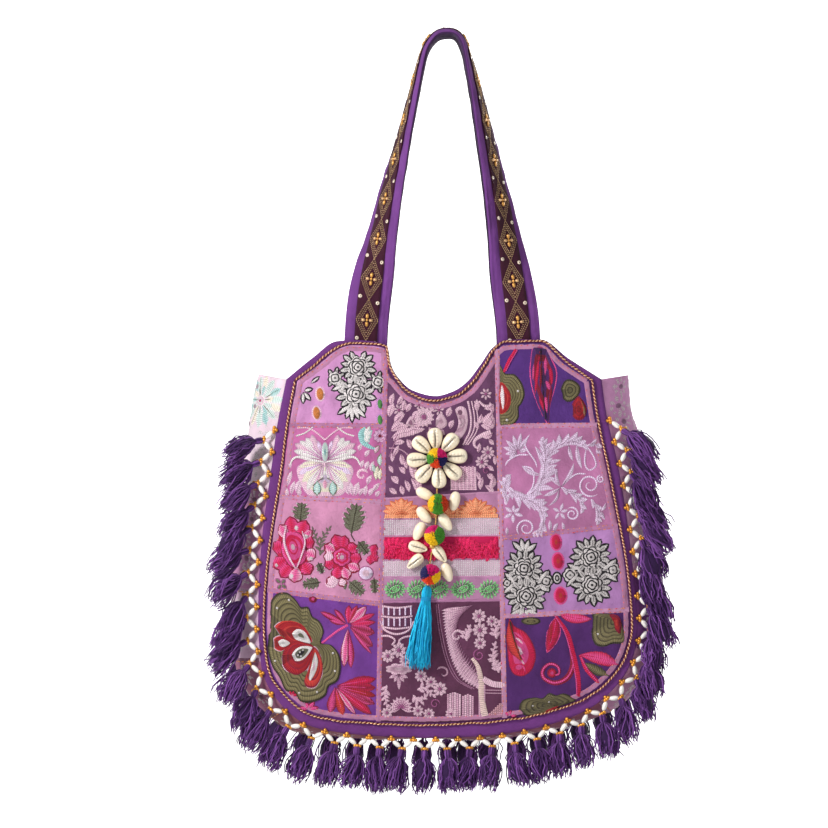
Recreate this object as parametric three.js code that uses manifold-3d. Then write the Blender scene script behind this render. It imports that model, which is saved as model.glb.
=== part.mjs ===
// Patchwork tote bag, hung by its two shoulder straps. Millimetres, +Z up, the front faces -Y.
// The origin is the underside of the strap crowns, where a hook or a shoulder carries the bag.

import * as THREE from "three";
import { mergeVertices } from "three/addons/utils/BufferGeometryUtils.js";
import ManifoldModule from "manifold-3d";

const solids = await ManifoldModule();
solids.setup();

// Cloth and clearances
const CLOTH = 1.6; // panel and gusset walls
const PATCH_CLOTH = 1.0; // patches and lace
const SEAT = 0.3; // gap between pieces that touch
const PATCH_SEAT = 0.5; // gap under the patches, wider because both faces are facetted
const SEAM_SLIT = 0.8; // gap between neighbouring patches

// How finely the solids are cut into facets
const PANEL_ROWS = { front: 11, back: 6 };
const GUSSET_STEPS = { along: 30, across: 4 };
const PATCH_ROW = 22; // height of a row of facets on a patch
const PATCH_COLUMNS = 4; // facets across a patch below the mouth
const SHELL_SEGMENTS = { around: 7, along: 4 };
const EDGE_SAMPLES = 600; // for measuring along the panel's edge
const HALVINGS = 40; // for finding a point of the hem
const SAME_POINT = 1e-4; // points closer than this are one
const FLAT_ENOUGH = 0.12; // facets of the fringe merge within this

// Bag body
const DEPTH = 96; // gusset width, front seam to back seam
const FRONT_BELLY = 15; // how far the filled front swells past its seam
const BACK_BELLY = 9;
const BELLY_REACH = 215; // half width over which the swelling fades out
const BELLY_DROP = 1.3; // above 1 the belly hangs low
const MOUTH_Z = -305; // ear tops
const BASE_Z = -706; // bottom seam
const BACK_LIFT = 14; // the back hangs this much shorter at its foot
const SIDE_SWELL = 29; // gusset bulge at the sides
const BASE_SWELL = 9; // gusset bulge under the bag

// Straps
const STRAP_WIDTH = 43;
const STRAP_THICK = 6;
const STRAP_CHAMFER = 1.8; // corners of the padded edge
const STRAP_FOOT_Y = 41.6; // strap feet, inside the panels
const STRAP_CROWN_Y = 22.6; // each strap lies this far from the middle on the hook
const STRAP_FOOT_Z = -300; // below this the strap runs straight down inside the panel
const TRIM_WIDTH = 23;
const TRIM_THICK = 0.9;

// Edge cord and fringe
const CORD_RADIUS = 1.7;
const CORD_SIDES = 4;
const CORD_CLOSE = { x: 2, z: 1.6 }; // its end stops this far inside its start
const HEM_STEPS = 40; // cord lengths along the hem
const STRING_RADIUS = 1.8; // bead string
const STRING_SIDES = 3;
const TASSELS = 41;
const TASSEL_SIDES = { front: 5, back: 4 }; // the hidden back ones are plainer
const FRINGE_INNER = 2.4; // bead string over the panel's edge, inner and outer points of the zigzag
const FRINGE_OUTER = 11;
const FRINGE_ENDS = { left: 52, right: 42 }; // bare edge below the two mouth corners
const FRINGE_STAND = 0.5; // bead string in front of the panel's edge
const TASSEL_TILT = { near: 9, far: 14 }; // degrees off the bag, by turns
const TASSEL_SWAY = { slow: 7, pitch: 2.4, turns: 3 }; // degrees that they stray to the side

// Cowrie flower and charm
const FLOWER = { x: -12, z: -425, shells: 8, first: 95, ring: 19.6, stand: 6.6, pompomStand: 11.2 };
const FLOWER_SHELL = { long: 20.5, wide: 12.4, thick: 9.6 };
const CHARM_SHELL = { long: 19, wide: 11.6, thick: 9 };
const SHELL_TAPER = 0.12; // one end broader than the other
const POMPOM_RADIUS = 10;
const POMPOM_LOCKS = 0.06; // how far its locks stand out, as a share of the radius
const POMPOM_WAVE = { x: 0.62, y: 0.58, z: 0.6 }; // how close its locks lie
const CHARM_CORD_RADIUS = 0.7;

const COLOURS = {
  purple: 0x70408c,
  lilac: 0xc18ac6,
  lotus: 0xdcb4dc,
  pink: 0xd69ac4,
  violet: 0x55358f,
  mauve: 0x6f4a6c,
  orange: 0xef8f5c,
  silver: 0xcdbccb,
  magenta: 0xd81e5e,
  green: 0x74b878,
  gold: 0xd89a4a,
  maroon: 0x3b1a2c,
  tassel: 0x4b2a72,
  ivory: 0xefe2c8,
  yellow: 0xe8c21e,
  turquoise: 0x1ba9d4,
};

// Edge of the patchwork from the left mouth corner, down, round the foot and up to the right mouth corner.
// border is the width of the purple margin that shows outside it.
const HEM = [
  { x: -152, z: -348, border: 11 },
  { x: -160, z: -393, border: 12 },
  { x: -166, z: -440, border: 12.5 },
  { x: -174, z: -490, border: 11.5 },
  { x: -180, z: -535, border: 9.5 },
  { x: -183, z: -580, border: 8 },
  { x: -182, z: -612, border: 8 },
  { x: -177, z: -640, border: 9 },
  { x: -163, z: -661, border: 11 },
  { x: -140, z: -679, border: 13 },
  { x: -108, z: -686, border: 14 },
  { x: -66, z: -689, border: 15 },
  { x: -15, z: -690, border: 15.5 },
  { x: 40, z: -687, border: 16 },
  { x: 88, z: -680, border: 15 },
  { x: 126, z: -668, border: 14 },
  { x: 150, z: -654, border: 12 },
  { x: 170, z: -632, border: 10.5 },
  { x: 180, z: -604, border: 8.5 },
  { x: 180, z: -572, border: 7.5 },
  { x: 175, z: -527, border: 8 },
  { x: 166, z: -478, border: 11 },
  { x: 156, z: -429, border: 12.5 },
  { x: 147, z: -387, border: 11.5 },
  { x: 141, z: -348, border: 12 },
];
const HEM_CORNERS = { left: 8, right: 16 }; // rows where a side turns into the foot

// Mouth edge of the patchwork between the two mouth corners: shoulder, ear, neckline, ear, shoulder.
const MOUTH = [
  { x: -130, z: -331, border: 9 },
  { x: -109, z: -315, border: 8 },
  { x: -98, z: -312, border: 5 },
  { x: -64, z: -315, border: 4 },
  { x: -62, z: -332, border: 4 },
  { x: -53, z: -348, border: 4 },
  { x: -38, z: -361, border: 4 },
  { x: -13, z: -367, border: 4 },
  { x: 6, z: -362, border: 4 },
  { x: 21, z: -352, border: 4 },
  { x: 36, z: -333, border: 4 },
  { x: 48, z: -316, border: 4 },
  { x: 56, z: -311, border: 4 },
  { x: 91, z: -310, border: 4 },
  { x: 116, z: -330, border: 6 },
];
const NECKLINE = { from: 4, to: 11 }; // rows of MOUTH

// The two upright seams between the three columns of patches: x at the mouth and at the foot.
const COLUMN_SEAMS = { left: { mouth: -63, foot: -71 }, right: { mouth: 48, foot: 56 } };

// Patches of each column from the mouth down; left and right are the heights of the seam below, at its ends.
const LEFT_PATCHES = [
  { name: "patch_white_rose", colour: "lilac", left: -392, right: -393 },
  { name: "patch_lotus", colour: "lotus", left: -464, right: -469 },
  { name: "patch_pink_rose", colour: "pink", left: -557, right: -571 },
  { name: "patch_peony", colour: "violet" },
];
const MIDDLE_PATCHES = [
  { name: "patch_vine", colour: "mauve", left: -466, right: -459 },
  { name: "lace_orange", colour: "orange", left: -486, right: -484 },
  { name: "lace_silver_upper", colour: "silver", left: -503, right: -502 },
  { name: "lace_magenta", colour: "magenta", left: -527, right: -526 },
  { name: "lace_silver_lower", colour: "silver", left: -544, right: -543 },
  { name: "lace_green", colour: "green", left: -569, right: -567 },
  { name: "patch_garden", colour: "mauve" },
];
const RIGHT_PATCHES = [
  { name: "patch_bud", colour: "violet", left: -393, right: -392 },
  { name: "patch_scroll", colour: "lilac", left: -505, right: -493 },
  { name: "patch_silver_rose", colour: "lilac", left: -583, right: -577 },
  { name: "patch_stem", colour: "violet" },
];

// Centre line of a strap from its left foot, over the crown, to its right foot.
// turn is how far its face has turned from the front towards the outside of the arch, in degrees.
const STRAP_PATH = [
  { x: -84, z: -340, turn: 0 },
  { x: -83, z: -300, turn: 0 },
  { x: -80, z: -267, turn: 4 },
  { x: -74.5, z: -235, turn: 24 },
  { x: -68.5, z: -207, turn: 44 },
  { x: -60.5, z: -167, turn: 56 },
  { x: -53, z: -135, turn: 65 },
  { x: -46.5, z: -107, turn: 72 },
  { x: -37.5, z: -70, turn: 79 },
  { x: -28, z: -30, turn: 85 },
  { x: -22, z: -12, turn: 88 },
  { x: -12, z: 0.5, turn: 88 },
  { x: 0, z: 3.2, turn: 88 },
  { x: 9, z: 0, turn: 88 },
  { x: 15.5, z: -12, turn: 88 },
  { x: 21.5, z: -33, turn: 82 },
  { x: 28, z: -59, turn: 76 },
  { x: 36, z: -97, turn: 68 },
  { x: 43.5, z: -135, turn: 61 },
  { x: 50, z: -167, turn: 52 },
  { x: 56.5, z: -205, turn: 40 },
  { x: 62, z: -240, turn: 20 },
  { x: 67.5, z: -275, turn: 4 },
  { x: 70, z: -302, turn: 0 },
  { x: 70.5, z: -340, turn: 0 },
];

// How the tassels lean along the fringe: share of its length, and degrees from straight down, left positive.
const TASSEL_LEAN = [
  { share: 0, lean: 70 },
  { share: 0.1, lean: 62 },
  { share: 0.22, lean: 48 },
  { share: 0.32, lean: 30 },
  { share: 0.42, lean: 9 },
  { share: 0.55, lean: 0 },
  { share: 0.66, lean: -6 },
  { share: 0.78, lean: -20 },
  { share: 0.9, lean: -38 },
  { share: 1, lean: -58 },
];

// Outline of a tassel below its knot; lock is how deep the locks of thread part, as a share of the radius.
const TASSEL = [
  { radius: 0, drop: -1, lock: 0 },
  { radius: 4, drop: 4, lock: 0 },
  { radius: 2.7, drop: 9, lock: 0 },
  { radius: 8.4, drop: 27, lock: 0.14 },
  { radius: 9.2, drop: 43, lock: 0.22 },
  { radius: 0, drop: 41, lock: 0 },
];
const CHARM_TASSEL = [
  { radius: 0, drop: 0, lock: 0 },
  { radius: 4.4, drop: 5, lock: 0 },
  { radius: 4.8, drop: 14, lock: 0.05 },
  { radius: 9.2, drop: 46, lock: 0.12 },
  { radius: 11.5, drop: 80, lock: 0.18 },
  { radius: 0, drop: 78, lock: 0 },
];
const CHARM_TASSEL_PLACE = { x: -21.5, z: -553.4, stand: 5, lean: 7, tilt: 4, sides: 10, depth: 0.68 };

// Shells and pompoms of the charm. lean turns a shell's long axis from upright, in degrees, left positive.
// stand is how far the centre lies in front of the panel.
const CHARM_SHELLS = [
  { x: -24, z: -461, lean: 62, stand: 6.2 },
  { x: 5.5, z: -468, lean: -10, stand: 6.2 },
  { x: -25, z: -482, lean: 40, stand: 6.2 },
  { x: -3.5, z: -489, lean: 32, stand: 6.2 },
  { x: -30, z: -498, lean: -25, stand: 6.2 },
  { x: -31, z: -514, lean: 75, stand: 6.2 },
  { x: -34, z: -528.5, lean: -50, stand: 6.2 },
  { x: -9, z: -521, lean: 38, stand: 6.2 },
  { x: -2, z: -539, lean: 20, stand: 6.2 },
];
const CHARM_POMPOMS = [
  { x: -11, z: -471, stand: 13 },
  { x: -14.5, z: -502, stand: 13 },
  { x: -18.5, z: -541, stand: 13 },
];
const CHARM_CORD = [
  { x: -12, z: -457, stand: 2.5 },
  { x: -12, z: -471, stand: 2.5 },
  { x: -14.5, z: -502, stand: 2.5 },
  { x: -19, z: -530, stand: 2.5 },
  { x: -20.4, z: -545, stand: 2.5 },
  { x: -21.4, z: -553, stand: 4.8 },
];

const mix = THREE.MathUtils.lerp;
const clamp01 = (value) => THREE.MathUtils.clamp(value, 0, 1);
const radians = THREE.MathUtils.degToRad;
const point = (x, y, z) => new THREE.Vector3(x, y, z);
const plan = (x, z) => new THREE.Vector2(x, z);
const fractions = (count) => Array.from({ length: count + 1 }, (_, i) => i / count);
const straight = (from, to) => (share) => from.clone().lerp(to, share);
const fallOf = (z) => clamp01((MOUTH_Z - z) / (MOUTH_Z - BASE_Z));

// Swelling of the filled bag, from 0 at the mouth and foot to 1 in the belly.
function belly(x, z) {
  return Math.max(0, 1 - (x / BELLY_REACH) ** 2) * Math.sin(Math.PI * fallOf(z) ** BELLY_DROP);
}
const frontY = (x, z) => -DEPTH / 2 - FRONT_BELLY * belly(x, z);
const backY = (x, z) => DEPTH / 2 + BACK_BELLY * belly(x, z);

// The two walls of the bag: depth of the wall, height on it, the way out, and how finely each is cut.
const FRONT = {
  y: frontY,
  z: (z) => z,
  out: -1,
  rows: PANEL_ROWS.front,
  tasselSides: TASSEL_SIDES.front,
};
const BACK = {
  y: backY,
  z: (z) => z + BACK_LIFT * fallOf(z) ** 2,
  out: 1,
  rows: PANEL_ROWS.back,
  tasselSides: TASSEL_SIDES.back,
};

// A point over a wall, stand millimetres in front of its face.
const over = (wall, p, stand) => point(p.x, wall.y(p.x, p.y) + wall.out * stand, wall.z(p.y));

// A closed body from points and triangles, with its faces turned outwards.
function body(points, triangles) {
  const volume = triangles.reduce(
    (sum, [a, b, c]) => sum + points[a].dot(points[b].clone().cross(points[c])),
    0,
  );
  const faces = volume < 0 ? triangles.map(([a, b, c]) => [a, c, b]) : triangles;
  return new THREE.BufferGeometry().setFromPoints(points).setIndex(faces.flat());
}

// A sheet with thickness: outer and inner are grids of points of the same shape.
function slab(outer, inner) {
  const rows = outer.length;
  const columns = outer[0].length;
  const at = (side, i, j) => (side * rows + i) * columns + j;
  const triangles = [];
  const quad = (a, b, c, d) => triangles.push([a, b, c], [a, c, d]);
  for (let i = 0; i + 1 < rows; i++) {
    for (let j = 0; j + 1 < columns; j++) {
      quad(at(0, i, j), at(0, i, j + 1), at(0, i + 1, j + 1), at(0, i + 1, j));
      quad(at(1, i, j), at(1, i + 1, j), at(1, i + 1, j + 1), at(1, i, j + 1));
    }
    const end = columns - 1;
    quad(at(0, i, 0), at(0, i + 1, 0), at(1, i + 1, 0), at(1, i, 0));
    quad(at(0, i + 1, end), at(0, i, end), at(1, i, end), at(1, i + 1, end));
  }
  for (let j = 0; j + 1 < columns; j++) {
    const end = rows - 1;
    quad(at(0, 0, j + 1), at(0, 0, j), at(1, 0, j), at(1, 0, j + 1));
    quad(at(0, end, j), at(0, end, j + 1), at(1, end, j + 1), at(1, end, j));
  }
  return body([...outer.flat(), ...inner.flat()], triangles);
}

// The two triangles between neighbouring points of two rings, split along the shorter diagonal.
function bandQuad(points, a, b, sides) {
  const c = b + sides;
  const d = a + sides;
  const direct = points[a].distanceTo(points[c]) <= points[b].distanceTo(points[d]);
  return direct ? [[a, b, c], [a, c, d]] : [[a, b, d], [b, c, d]];
}

// All triangles between the rings of a lofted body.
function bands(points, rings, sides) {
  const triangles = [];
  for (let i = 0; i + 1 < rings; i++) {
    for (let j = 0; j < sides; j++) {
      triangles.push(...bandQuad(points, i * sides + j, i * sides + ((j + 1) % sides), sides));
    }
  }
  return triangles;
}

// A solid through rings of points, closed flat at both ends.
function loft(rings) {
  const sides = rings[0].length;
  const points = rings.flat();
  const last = (rings.length - 1) * sides;
  const triangles = bands(points, rings.length, sides);
  for (let j = 1; j + 1 < sides; j++) {
    triangles.push([0, j + 1, j], [last, last + j, last + j + 1]);
  }
  return body(points, triangles);
}

// A solid through rings of points that closes on a tip at each end.
function tipped(rings, first, last) {
  const sides = rings[0].length;
  const points = [...rings.flat(), first, last];
  const foot = (rings.length - 1) * sides;
  const triangles = bands(points, rings.length, sides);
  for (let j = 0; j < sides; j++) {
    const next = (j + 1) % sides;
    triangles.push([points.length - 2, next, j], [points.length - 1, foot + j, foot + next]);
  }
  return body(points, triangles);
}

// A flat section carried along a path. Each section point gives its distance across and out of the bag's
// front; turns roll the section about the path.
function sweep(path, section, turns) {
  const rings = path.map((centre, i) => {
    const before = path[Math.max(0, i - 1)];
    const after = path[Math.min(path.length - 1, i + 1)];
    const heading = after.clone().sub(before).normalize();
    const out = point(0, -1, 0).addScaledVector(heading, heading.y).normalize();
    out.applyAxisAngle(heading, radians(turns ? -turns[i] : 0));
    const across = out.clone().cross(heading);
    return section.map((p) => centre.clone().addScaledVector(across, p.x).addScaledVector(out, p.y));
  });
  return loft(rings);
}

// A round section for a sweep.
function round(radius, sides) {
  return fractions(sides)
    .slice(1)
    .map((share) => plan(radius, 0).rotateAround(plan(0, 0), 2 * Math.PI * share));
}

// Points inside four edges: each edge is a function of 0 to 1, left and right run from the foot up.
function coons(edges, acrosses, ups) {
  const { left, right, bottom, top } = edges;
  const blend = (u, v, axis) => {
    const sides = mix(left(v)[axis], right(v)[axis], u);
    const ends = mix(bottom(u)[axis], top(u)[axis], v);
    const low = mix(bottom(0)[axis], bottom(1)[axis], u);
    const high = mix(top(0)[axis], top(1)[axis], u);
    return sides + ends - mix(low, high, v);
  };
  return ups.map((v) => acrosses.map((u) => plan(blend(u, v, "x"), blend(u, v, "y"))));
}

// An edge through points that run from left to right, as a function of the share of its width.
function acrossEdge(points) {
  const width = points.at(-1).x - points[0].x;
  const shares = points.map((p) => (p.x - points[0].x) / width);
  const edge = (share) => {
    const next = Math.max(1, shares.findIndex((s) => s >= share - SAME_POINT));
    const passed = (share - shares[next - 1]) / (shares[next] - shares[next - 1]);
    return points[next - 1].clone().lerp(points[next], passed);
  };
  return { edge, shares };
}

// Hem of the patchwork, and the panel's edge outside it by the border's width.
const hem = new THREE.SplineCurve(HEM.map((row) => plan(row.x, row.z)));
const hemShare = {
  left: HEM_CORNERS.left / (HEM.length - 1),
  right: HEM_CORNERS.right / (HEM.length - 1),
};

function hemOutward(share) {
  const heading = hem.getTangent(share);
  return plan(heading.y, -heading.x);
}

function hemBorder(share) {
  const place = share * (HEM.length - 1);
  const row = Math.min(HEM.length - 2, Math.floor(place));
  return mix(HEM[row].border, HEM[row + 1].border, place - row);
}

const overHem = (share, width) => hem.getPoint(share).addScaledVector(hemOutward(share), width);
const panelEdge = (share, extra = 0) => overHem(share, hemBorder(share) + extra);

// The point of the hem, between two shares, where one axis reaches a value.
function hemWhere(axis, value, from, to) {
  const rising = hem.getPoint(to)[axis] > hem.getPoint(from)[axis];
  let low = from;
  let high = to;
  for (let step = 0; step < HALVINGS; step++) {
    const middle = (low + high) / 2;
    const short = hem.getPoint(middle)[axis] < value;
    if (short === rising) low = middle;
    else high = middle;
  }
  return hem.getPoint(low);
}

// The mouth edge moved outwards, by each row's border or by one width.
const mouth = [hem.getPoint(0), ...MOUTH.map((row) => plan(row.x, row.z)), hem.getPoint(1)];
function overMouth(width) {
  return MOUTH.map((row, i) => {
    const heading = mouth[i + 2].clone().sub(mouth[i]).normalize();
    return mouth[i + 1].clone().addScaledVector(plan(-heading.y, heading.x), width ?? row.border);
  });
}

// The front or back wall: a swelling sheet between the panel's sides, foot and mouth.
function panel(wall) {
  const top = acrossEdge([panelEdge(0), ...overMouth(), panelEdge(1)]);
  const edges = {
    left: (v) => panelEdge(mix(hemShare.left, 0, v)),
    right: (v) => panelEdge(mix(hemShare.right, 1, v)),
    bottom: (u) => panelEdge(mix(hemShare.left, hemShare.right, u)),
    top: top.edge,
  };
  const grid = coons(edges, top.shares, fractions(wall.rows));
  const sheet = (stand) => grid.map((row) => row.map((p) => over(wall, p, stand)));
  return slab(sheet(0), sheet(-CLOTH));
}

// The band that joins the two panels round the sides and foot, bulging between its seams.
function gusset() {
  const sheet = (inset) =>
    fractions(GUSSET_STEPS.along).map((share) => {
      const edge = panelEdge(share);
      const out = hemOutward(share);
      const swell = mix(BASE_SWELL, SIDE_SWELL, Math.abs(out.x));
      const front = over(FRONT, edge, -CLOTH - SEAT);
      const back = over(BACK, edge, -CLOTH - SEAT);
      return fractions(GUSSET_STEPS.across).map((depth) => {
        const reach = swell * 4 * depth * (1 - depth) - inset;
        return front.clone().lerp(back, depth).add(point(out.x * reach, 0, out.y * reach));
      });
    });
  return slab(sheet(0), sheet(CLOTH));
}

// All patches of one column, each between the seams above and below it.
// left and right give the column's sides at a height; foot holds the ends of its lower edge.
function patchColumn(rows, left, right, mouthEdge, foot) {
  const top = [left(mouthEdge[0].y), ...mouthEdge.slice(1, -1), right(mouthEdge.at(-1).y)];
  const footEdge = (u) => hemWhere("x", mix(foot.left, foot.right, u), hemShare.left, hemShare.right);
  let { edge, shares } = acrossEdge(top);
  return rows.map((row) => {
    const seam = row.left !== undefined;
    const low = seam
      ? { left: row.left + SEAM_SLIT / 2, right: row.right + SEAM_SLIT / 2 }
      : { left: footEdge(0).y, right: footEdge(1).y };
    const high = { left: edge(0).y, right: edge(1).y };
    const edges = {
      left: (v) => left(mix(low.left, high.left, v)),
      right: (v) => right(mix(low.right, high.right, v)),
      bottom: seam ? straight(left(low.left), right(low.right)) : footEdge,
      top: edge,
    };
    const steps = Math.max(1, Math.round((high.right - low.right) / PATCH_ROW));
    const grid = coons(edges, shares, fractions(steps));
    const sheet = (stand) => grid.map((line) => line.map((p) => over(FRONT, p, stand)));
    edge = straight(left(low.left - SEAM_SLIT), right(low.right - SEAM_SLIT));
    shares = fractions(PATCH_COLUMNS);
    return { ...row, geometry: slab(sheet(PATCH_SEAT + PATCH_CLOTH), sheet(PATCH_SEAT)) };
  });
}

// Points of a strap's centre line on the front or back of the bag.
function strapPath(out) {
  return STRAP_PATH.map((row) => {
    const rise = THREE.MathUtils.smoothstep(row.z, STRAP_FOOT_Z, 0);
    return point(row.x, out * mix(STRAP_FOOT_Y, STRAP_CROWN_Y, rise), row.z);
  });
}

const strapTurns = STRAP_PATH.map((row) => row.turn);

// A piece of the back strap is the front one seen in a mirror.
function mirrored(geometry) {
  const faces = geometry.clone().scale(1, -1, 1);
  const index = Array.from(faces.getIndex().array);
  return faces.setIndex(index.map((_, i) => index[i - (i % 3) + ((3 - (i % 3)) % 3)]));
}

function strap() {
  const side = STRAP_WIDTH / 2;
  const face = STRAP_THICK / 2;
  const trim = TRIM_WIDTH / 2;
  const half = [
    plan(side, STRAP_CHAMFER - face),
    plan(side, face - STRAP_CHAMFER),
    plan(side - STRAP_CHAMFER, face),
    plan(trim, face),
  ];
  const other = half.map((p) => plan(-p.x, p.y)).reverse();
  const under = [plan(STRAP_CHAMFER - side, -face), plan(side - STRAP_CHAMFER, -face)];
  return sweep(strapPath(-1), [...half, ...other, ...under], strapTurns);
}

function strapTrim() {
  const side = TRIM_WIDTH / 2;
  const low = STRAP_THICK / 2 + SEAT;
  const high = low + TRIM_THICK;
  const section = [plan(-side, low), plan(-side, high), plan(side, high), plan(side, low)];
  return sweep(strapPath(-1), section, strapTurns);
}

// The twisted cord that edges the patchwork, round the hem and back along the mouth.
function edgeCord() {
  const clear = CORD_RADIUS + 2 * SEAT;
  const onCloth = (p) => over(FRONT, p, CORD_RADIUS + SEAT);
  const hemPart = fractions(HEM_STEPS).map((share) => onCloth(overHem(share, clear)));
  const mouthPart = overMouth(clear).reverse().map(onCloth);
  const close = onCloth(overHem(0, clear).add(plan(CORD_CLOSE.x, CORD_CLOSE.z)));
  return sweep([...hemPart, ...mouthPart, close], round(CORD_RADIUS, CORD_SIDES));
}

// A tassel from its outline, hanging from a point along a heading. depth flattens it from front to back.
function tassel(outline, top, heading, sides, depth = 1) {
  const across = point(0, 1, 0).cross(heading).normalize();
  const out = heading.clone().cross(across);
  const at = (row) => top.clone().addScaledVector(heading, row.drop);
  const lock = (row, share, i) => {
    const radius = row.radius * (i % 2 ? 1 - row.lock : 1 + row.lock);
    const turn = 2 * Math.PI * share;
    const side = across.clone().multiplyScalar(radius * Math.cos(turn));
    return at(row).add(side).addScaledVector(out, radius * Math.sin(turn) * depth);
  };
  const rings = outline.slice(1, -1).map((row) => {
    const turns = fractions(sides).slice(1);
    return turns.map((share, i) => lock(row, share, i));
  });
  return tipped(rings, at(outline[0]), at(outline.at(-1)));
}

// The way a tassel hangs: lean to the left and tilt off the bag, in degrees.
function hanging(lean, tilt, out) {
  const side = radians(lean);
  return point(-Math.sin(side), out * Math.tan(radians(tilt)), -Math.cos(side)).normalize();
}

function leanAt(share) {
  const next = Math.max(1, TASSEL_LEAN.findIndex((row) => row.share >= share));
  const [a, b] = [TASSEL_LEAN[next - 1], TASSEL_LEAN[next]];
  return mix(a.lean, b.lean, (share - a.share) / (b.share - a.share));
}

// Shares of the hem at even steps along the panel's edge.
function evenShares(count) {
  const fine = fractions(EDGE_SAMPLES);
  const lengths = [0];
  for (let i = 1; i < fine.length; i++) {
    lengths.push(lengths[i - 1] + panelEdge(fine[i]).distanceTo(panelEdge(fine[i - 1])));
  }
  const from = FRINGE_ENDS.left;
  const to = lengths.at(-1) - FRINGE_ENDS.right;
  return fractions(count).map((share) => {
    const place = mix(from, to, share);
    return fine[lengths.findIndex((length) => length >= place)];
  });
}

// One string of beads in a zigzag along the panel's edge with a tassel at each outer point, as one body.
function fringe(wall) {
  const shares = evenShares(2 * TASSELS);
  const zigzag = shares.map((share, i) =>
    over(wall, panelEdge(share, i % 2 ? FRINGE_OUTER : FRINGE_INNER), FRINGE_STAND),
  );
  const parts = [sweep(zigzag, round(STRING_RADIUS, STRING_SIDES))];
  for (let i = 1; i < zigzag.length; i += 2) {
    const odd = i % 4 === 1;
    const stray = odd ? TASSEL_SWAY.turns : -TASSEL_SWAY.turns;
    const sway = TASSEL_SWAY.slow * Math.sin(TASSEL_SWAY.pitch * i) + stray;
    const lean = leanAt(i / (zigzag.length - 1)) + sway;
    const heading = hanging(lean, odd ? TASSEL_TILT.far : TASSEL_TILT.near, wall.out);
    parts.push(tassel(TASSEL, zigzag[i], heading, wall.tasselSides));
  }
  return joined(parts);
}

// Several closed bodies that overlap, as one.
function joined(geometries) {
  const parts = geometries.map((geometry) => {
    const clean = mergeVertices(geometry, SAME_POINT);
    const mesh = new solids.Mesh({
      numProp: 3,
      vertProperties: new Float32Array(clean.getAttribute("position").array),
      triVerts: new Uint32Array(clean.getIndex().array),
    });
    return new solids.Manifold(mesh);
  });
  const whole = solids.Manifold.union(parts).simplify(FLAT_ENOUGH).getMesh();
  const geometry = new THREE.BufferGeometry();
  geometry.setAttribute("position", new THREE.BufferAttribute(whole.vertProperties, 3));
  return geometry.setIndex(Array.from(whole.triVerts));
}

// A cowrie: an egg that is flatter than it is wide, its long axis leaning over the cloth.
function shell(size, x, z, lean, stand) {
  const geometry = new THREE.SphereGeometry(0.5, SHELL_SEGMENTS.around, SHELL_SEGMENTS.along);
  const position = geometry.getAttribute("position");
  for (let i = 0; i < position.count; i++) {
    const taper = 1 + SHELL_TAPER * 2 * position.getY(i);
    position.setXYZ(
      i,
      position.getX(i) * size.wide * taper,
      position.getZ(i) * size.thick * taper,
      position.getY(i) * size.long,
    );
  }
  geometry.rotateY(radians(-lean));
  const centre = over(FRONT, plan(x, z), stand);
  return outwards(geometry.translate(centre.x, centre.y, centre.z));
}

// The same surface with merged points and its faces turned outwards.
function outwards(geometry) {
  geometry.deleteAttribute("normal");
  geometry.deleteAttribute("uv");
  const clean = mergeVertices(geometry, SAME_POINT);
  const position = clean.getAttribute("position");
  const place = (_, i) => new THREE.Vector3().fromBufferAttribute(position, i);
  const points = Array.from({ length: position.count }, place);
  const index = Array.from(clean.getIndex().array);
  return body(points, index.flatMap((_, i) => (i % 3 ? [] : [index.slice(i, i + 3)])));
}

// A ball of wool with rounded locks.
function pompom(x, z, stand) {
  const geometry = new THREE.IcosahedronGeometry(POMPOM_RADIUS, 1);
  const position = geometry.getAttribute("position");
  const p = new THREE.Vector3();
  for (let i = 0; i < position.count; i++) {
    p.fromBufferAttribute(position, i);
    const lock =
      Math.sin(POMPOM_WAVE.x * p.x) *
      Math.sin(POMPOM_WAVE.y * p.y + 1) *
      Math.sin(POMPOM_WAVE.z * p.z + 2);
    p.multiplyScalar(1 - POMPOM_LOCKS + POMPOM_LOCKS * lock);
    position.setXYZ(i, p.x, p.y, p.z);
  }
  const centre = over(FRONT, plan(x, z), stand);
  return outwards(geometry.translate(centre.x, centre.y, centre.z));
}

function charmTassel() {
  const { x, z, stand, lean, tilt, sides, depth } = CHARM_TASSEL_PLACE;
  return tassel(CHARM_TASSEL, over(FRONT, plan(x, z), stand), hanging(lean, tilt, -1), sides, depth);
}

const CLOTH_FINISH = { roughness: 0.85 };
const CORD_FINISH = { metalness: 0.4, roughness: 0.5 };
const SHELL_FINISH = { roughness: 0.35 };
const bag = new THREE.Group();

function add(name, geometry, colour, finish = CLOTH_FINISH) {
  const material = new THREE.MeshStandardMaterial({ color: COLOURS[colour], ...finish });
  const mesh = new THREE.Mesh(geometry, material);
  mesh.name = name;
  bag.add(mesh);
}

add("front_panel", panel(FRONT), "purple");
add("back_panel", panel(BACK), "purple");
add("gusset", gusset(), "lilac");

const seamX = (seam, z) => mix(seam.mouth, seam.foot, fallOf(z));
const seamEdge = (seam, side) => (z) => plan(seamX(seam, z) + (side * SEAM_SLIT) / 2, z);
const leftSeam = COLUMN_SEAMS.left;
const rightSeam = COLUMN_SEAMS.right;
const footLeft = HEM[HEM_CORNERS.left].x;
const footRight = HEM[HEM_CORNERS.right].x;

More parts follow.
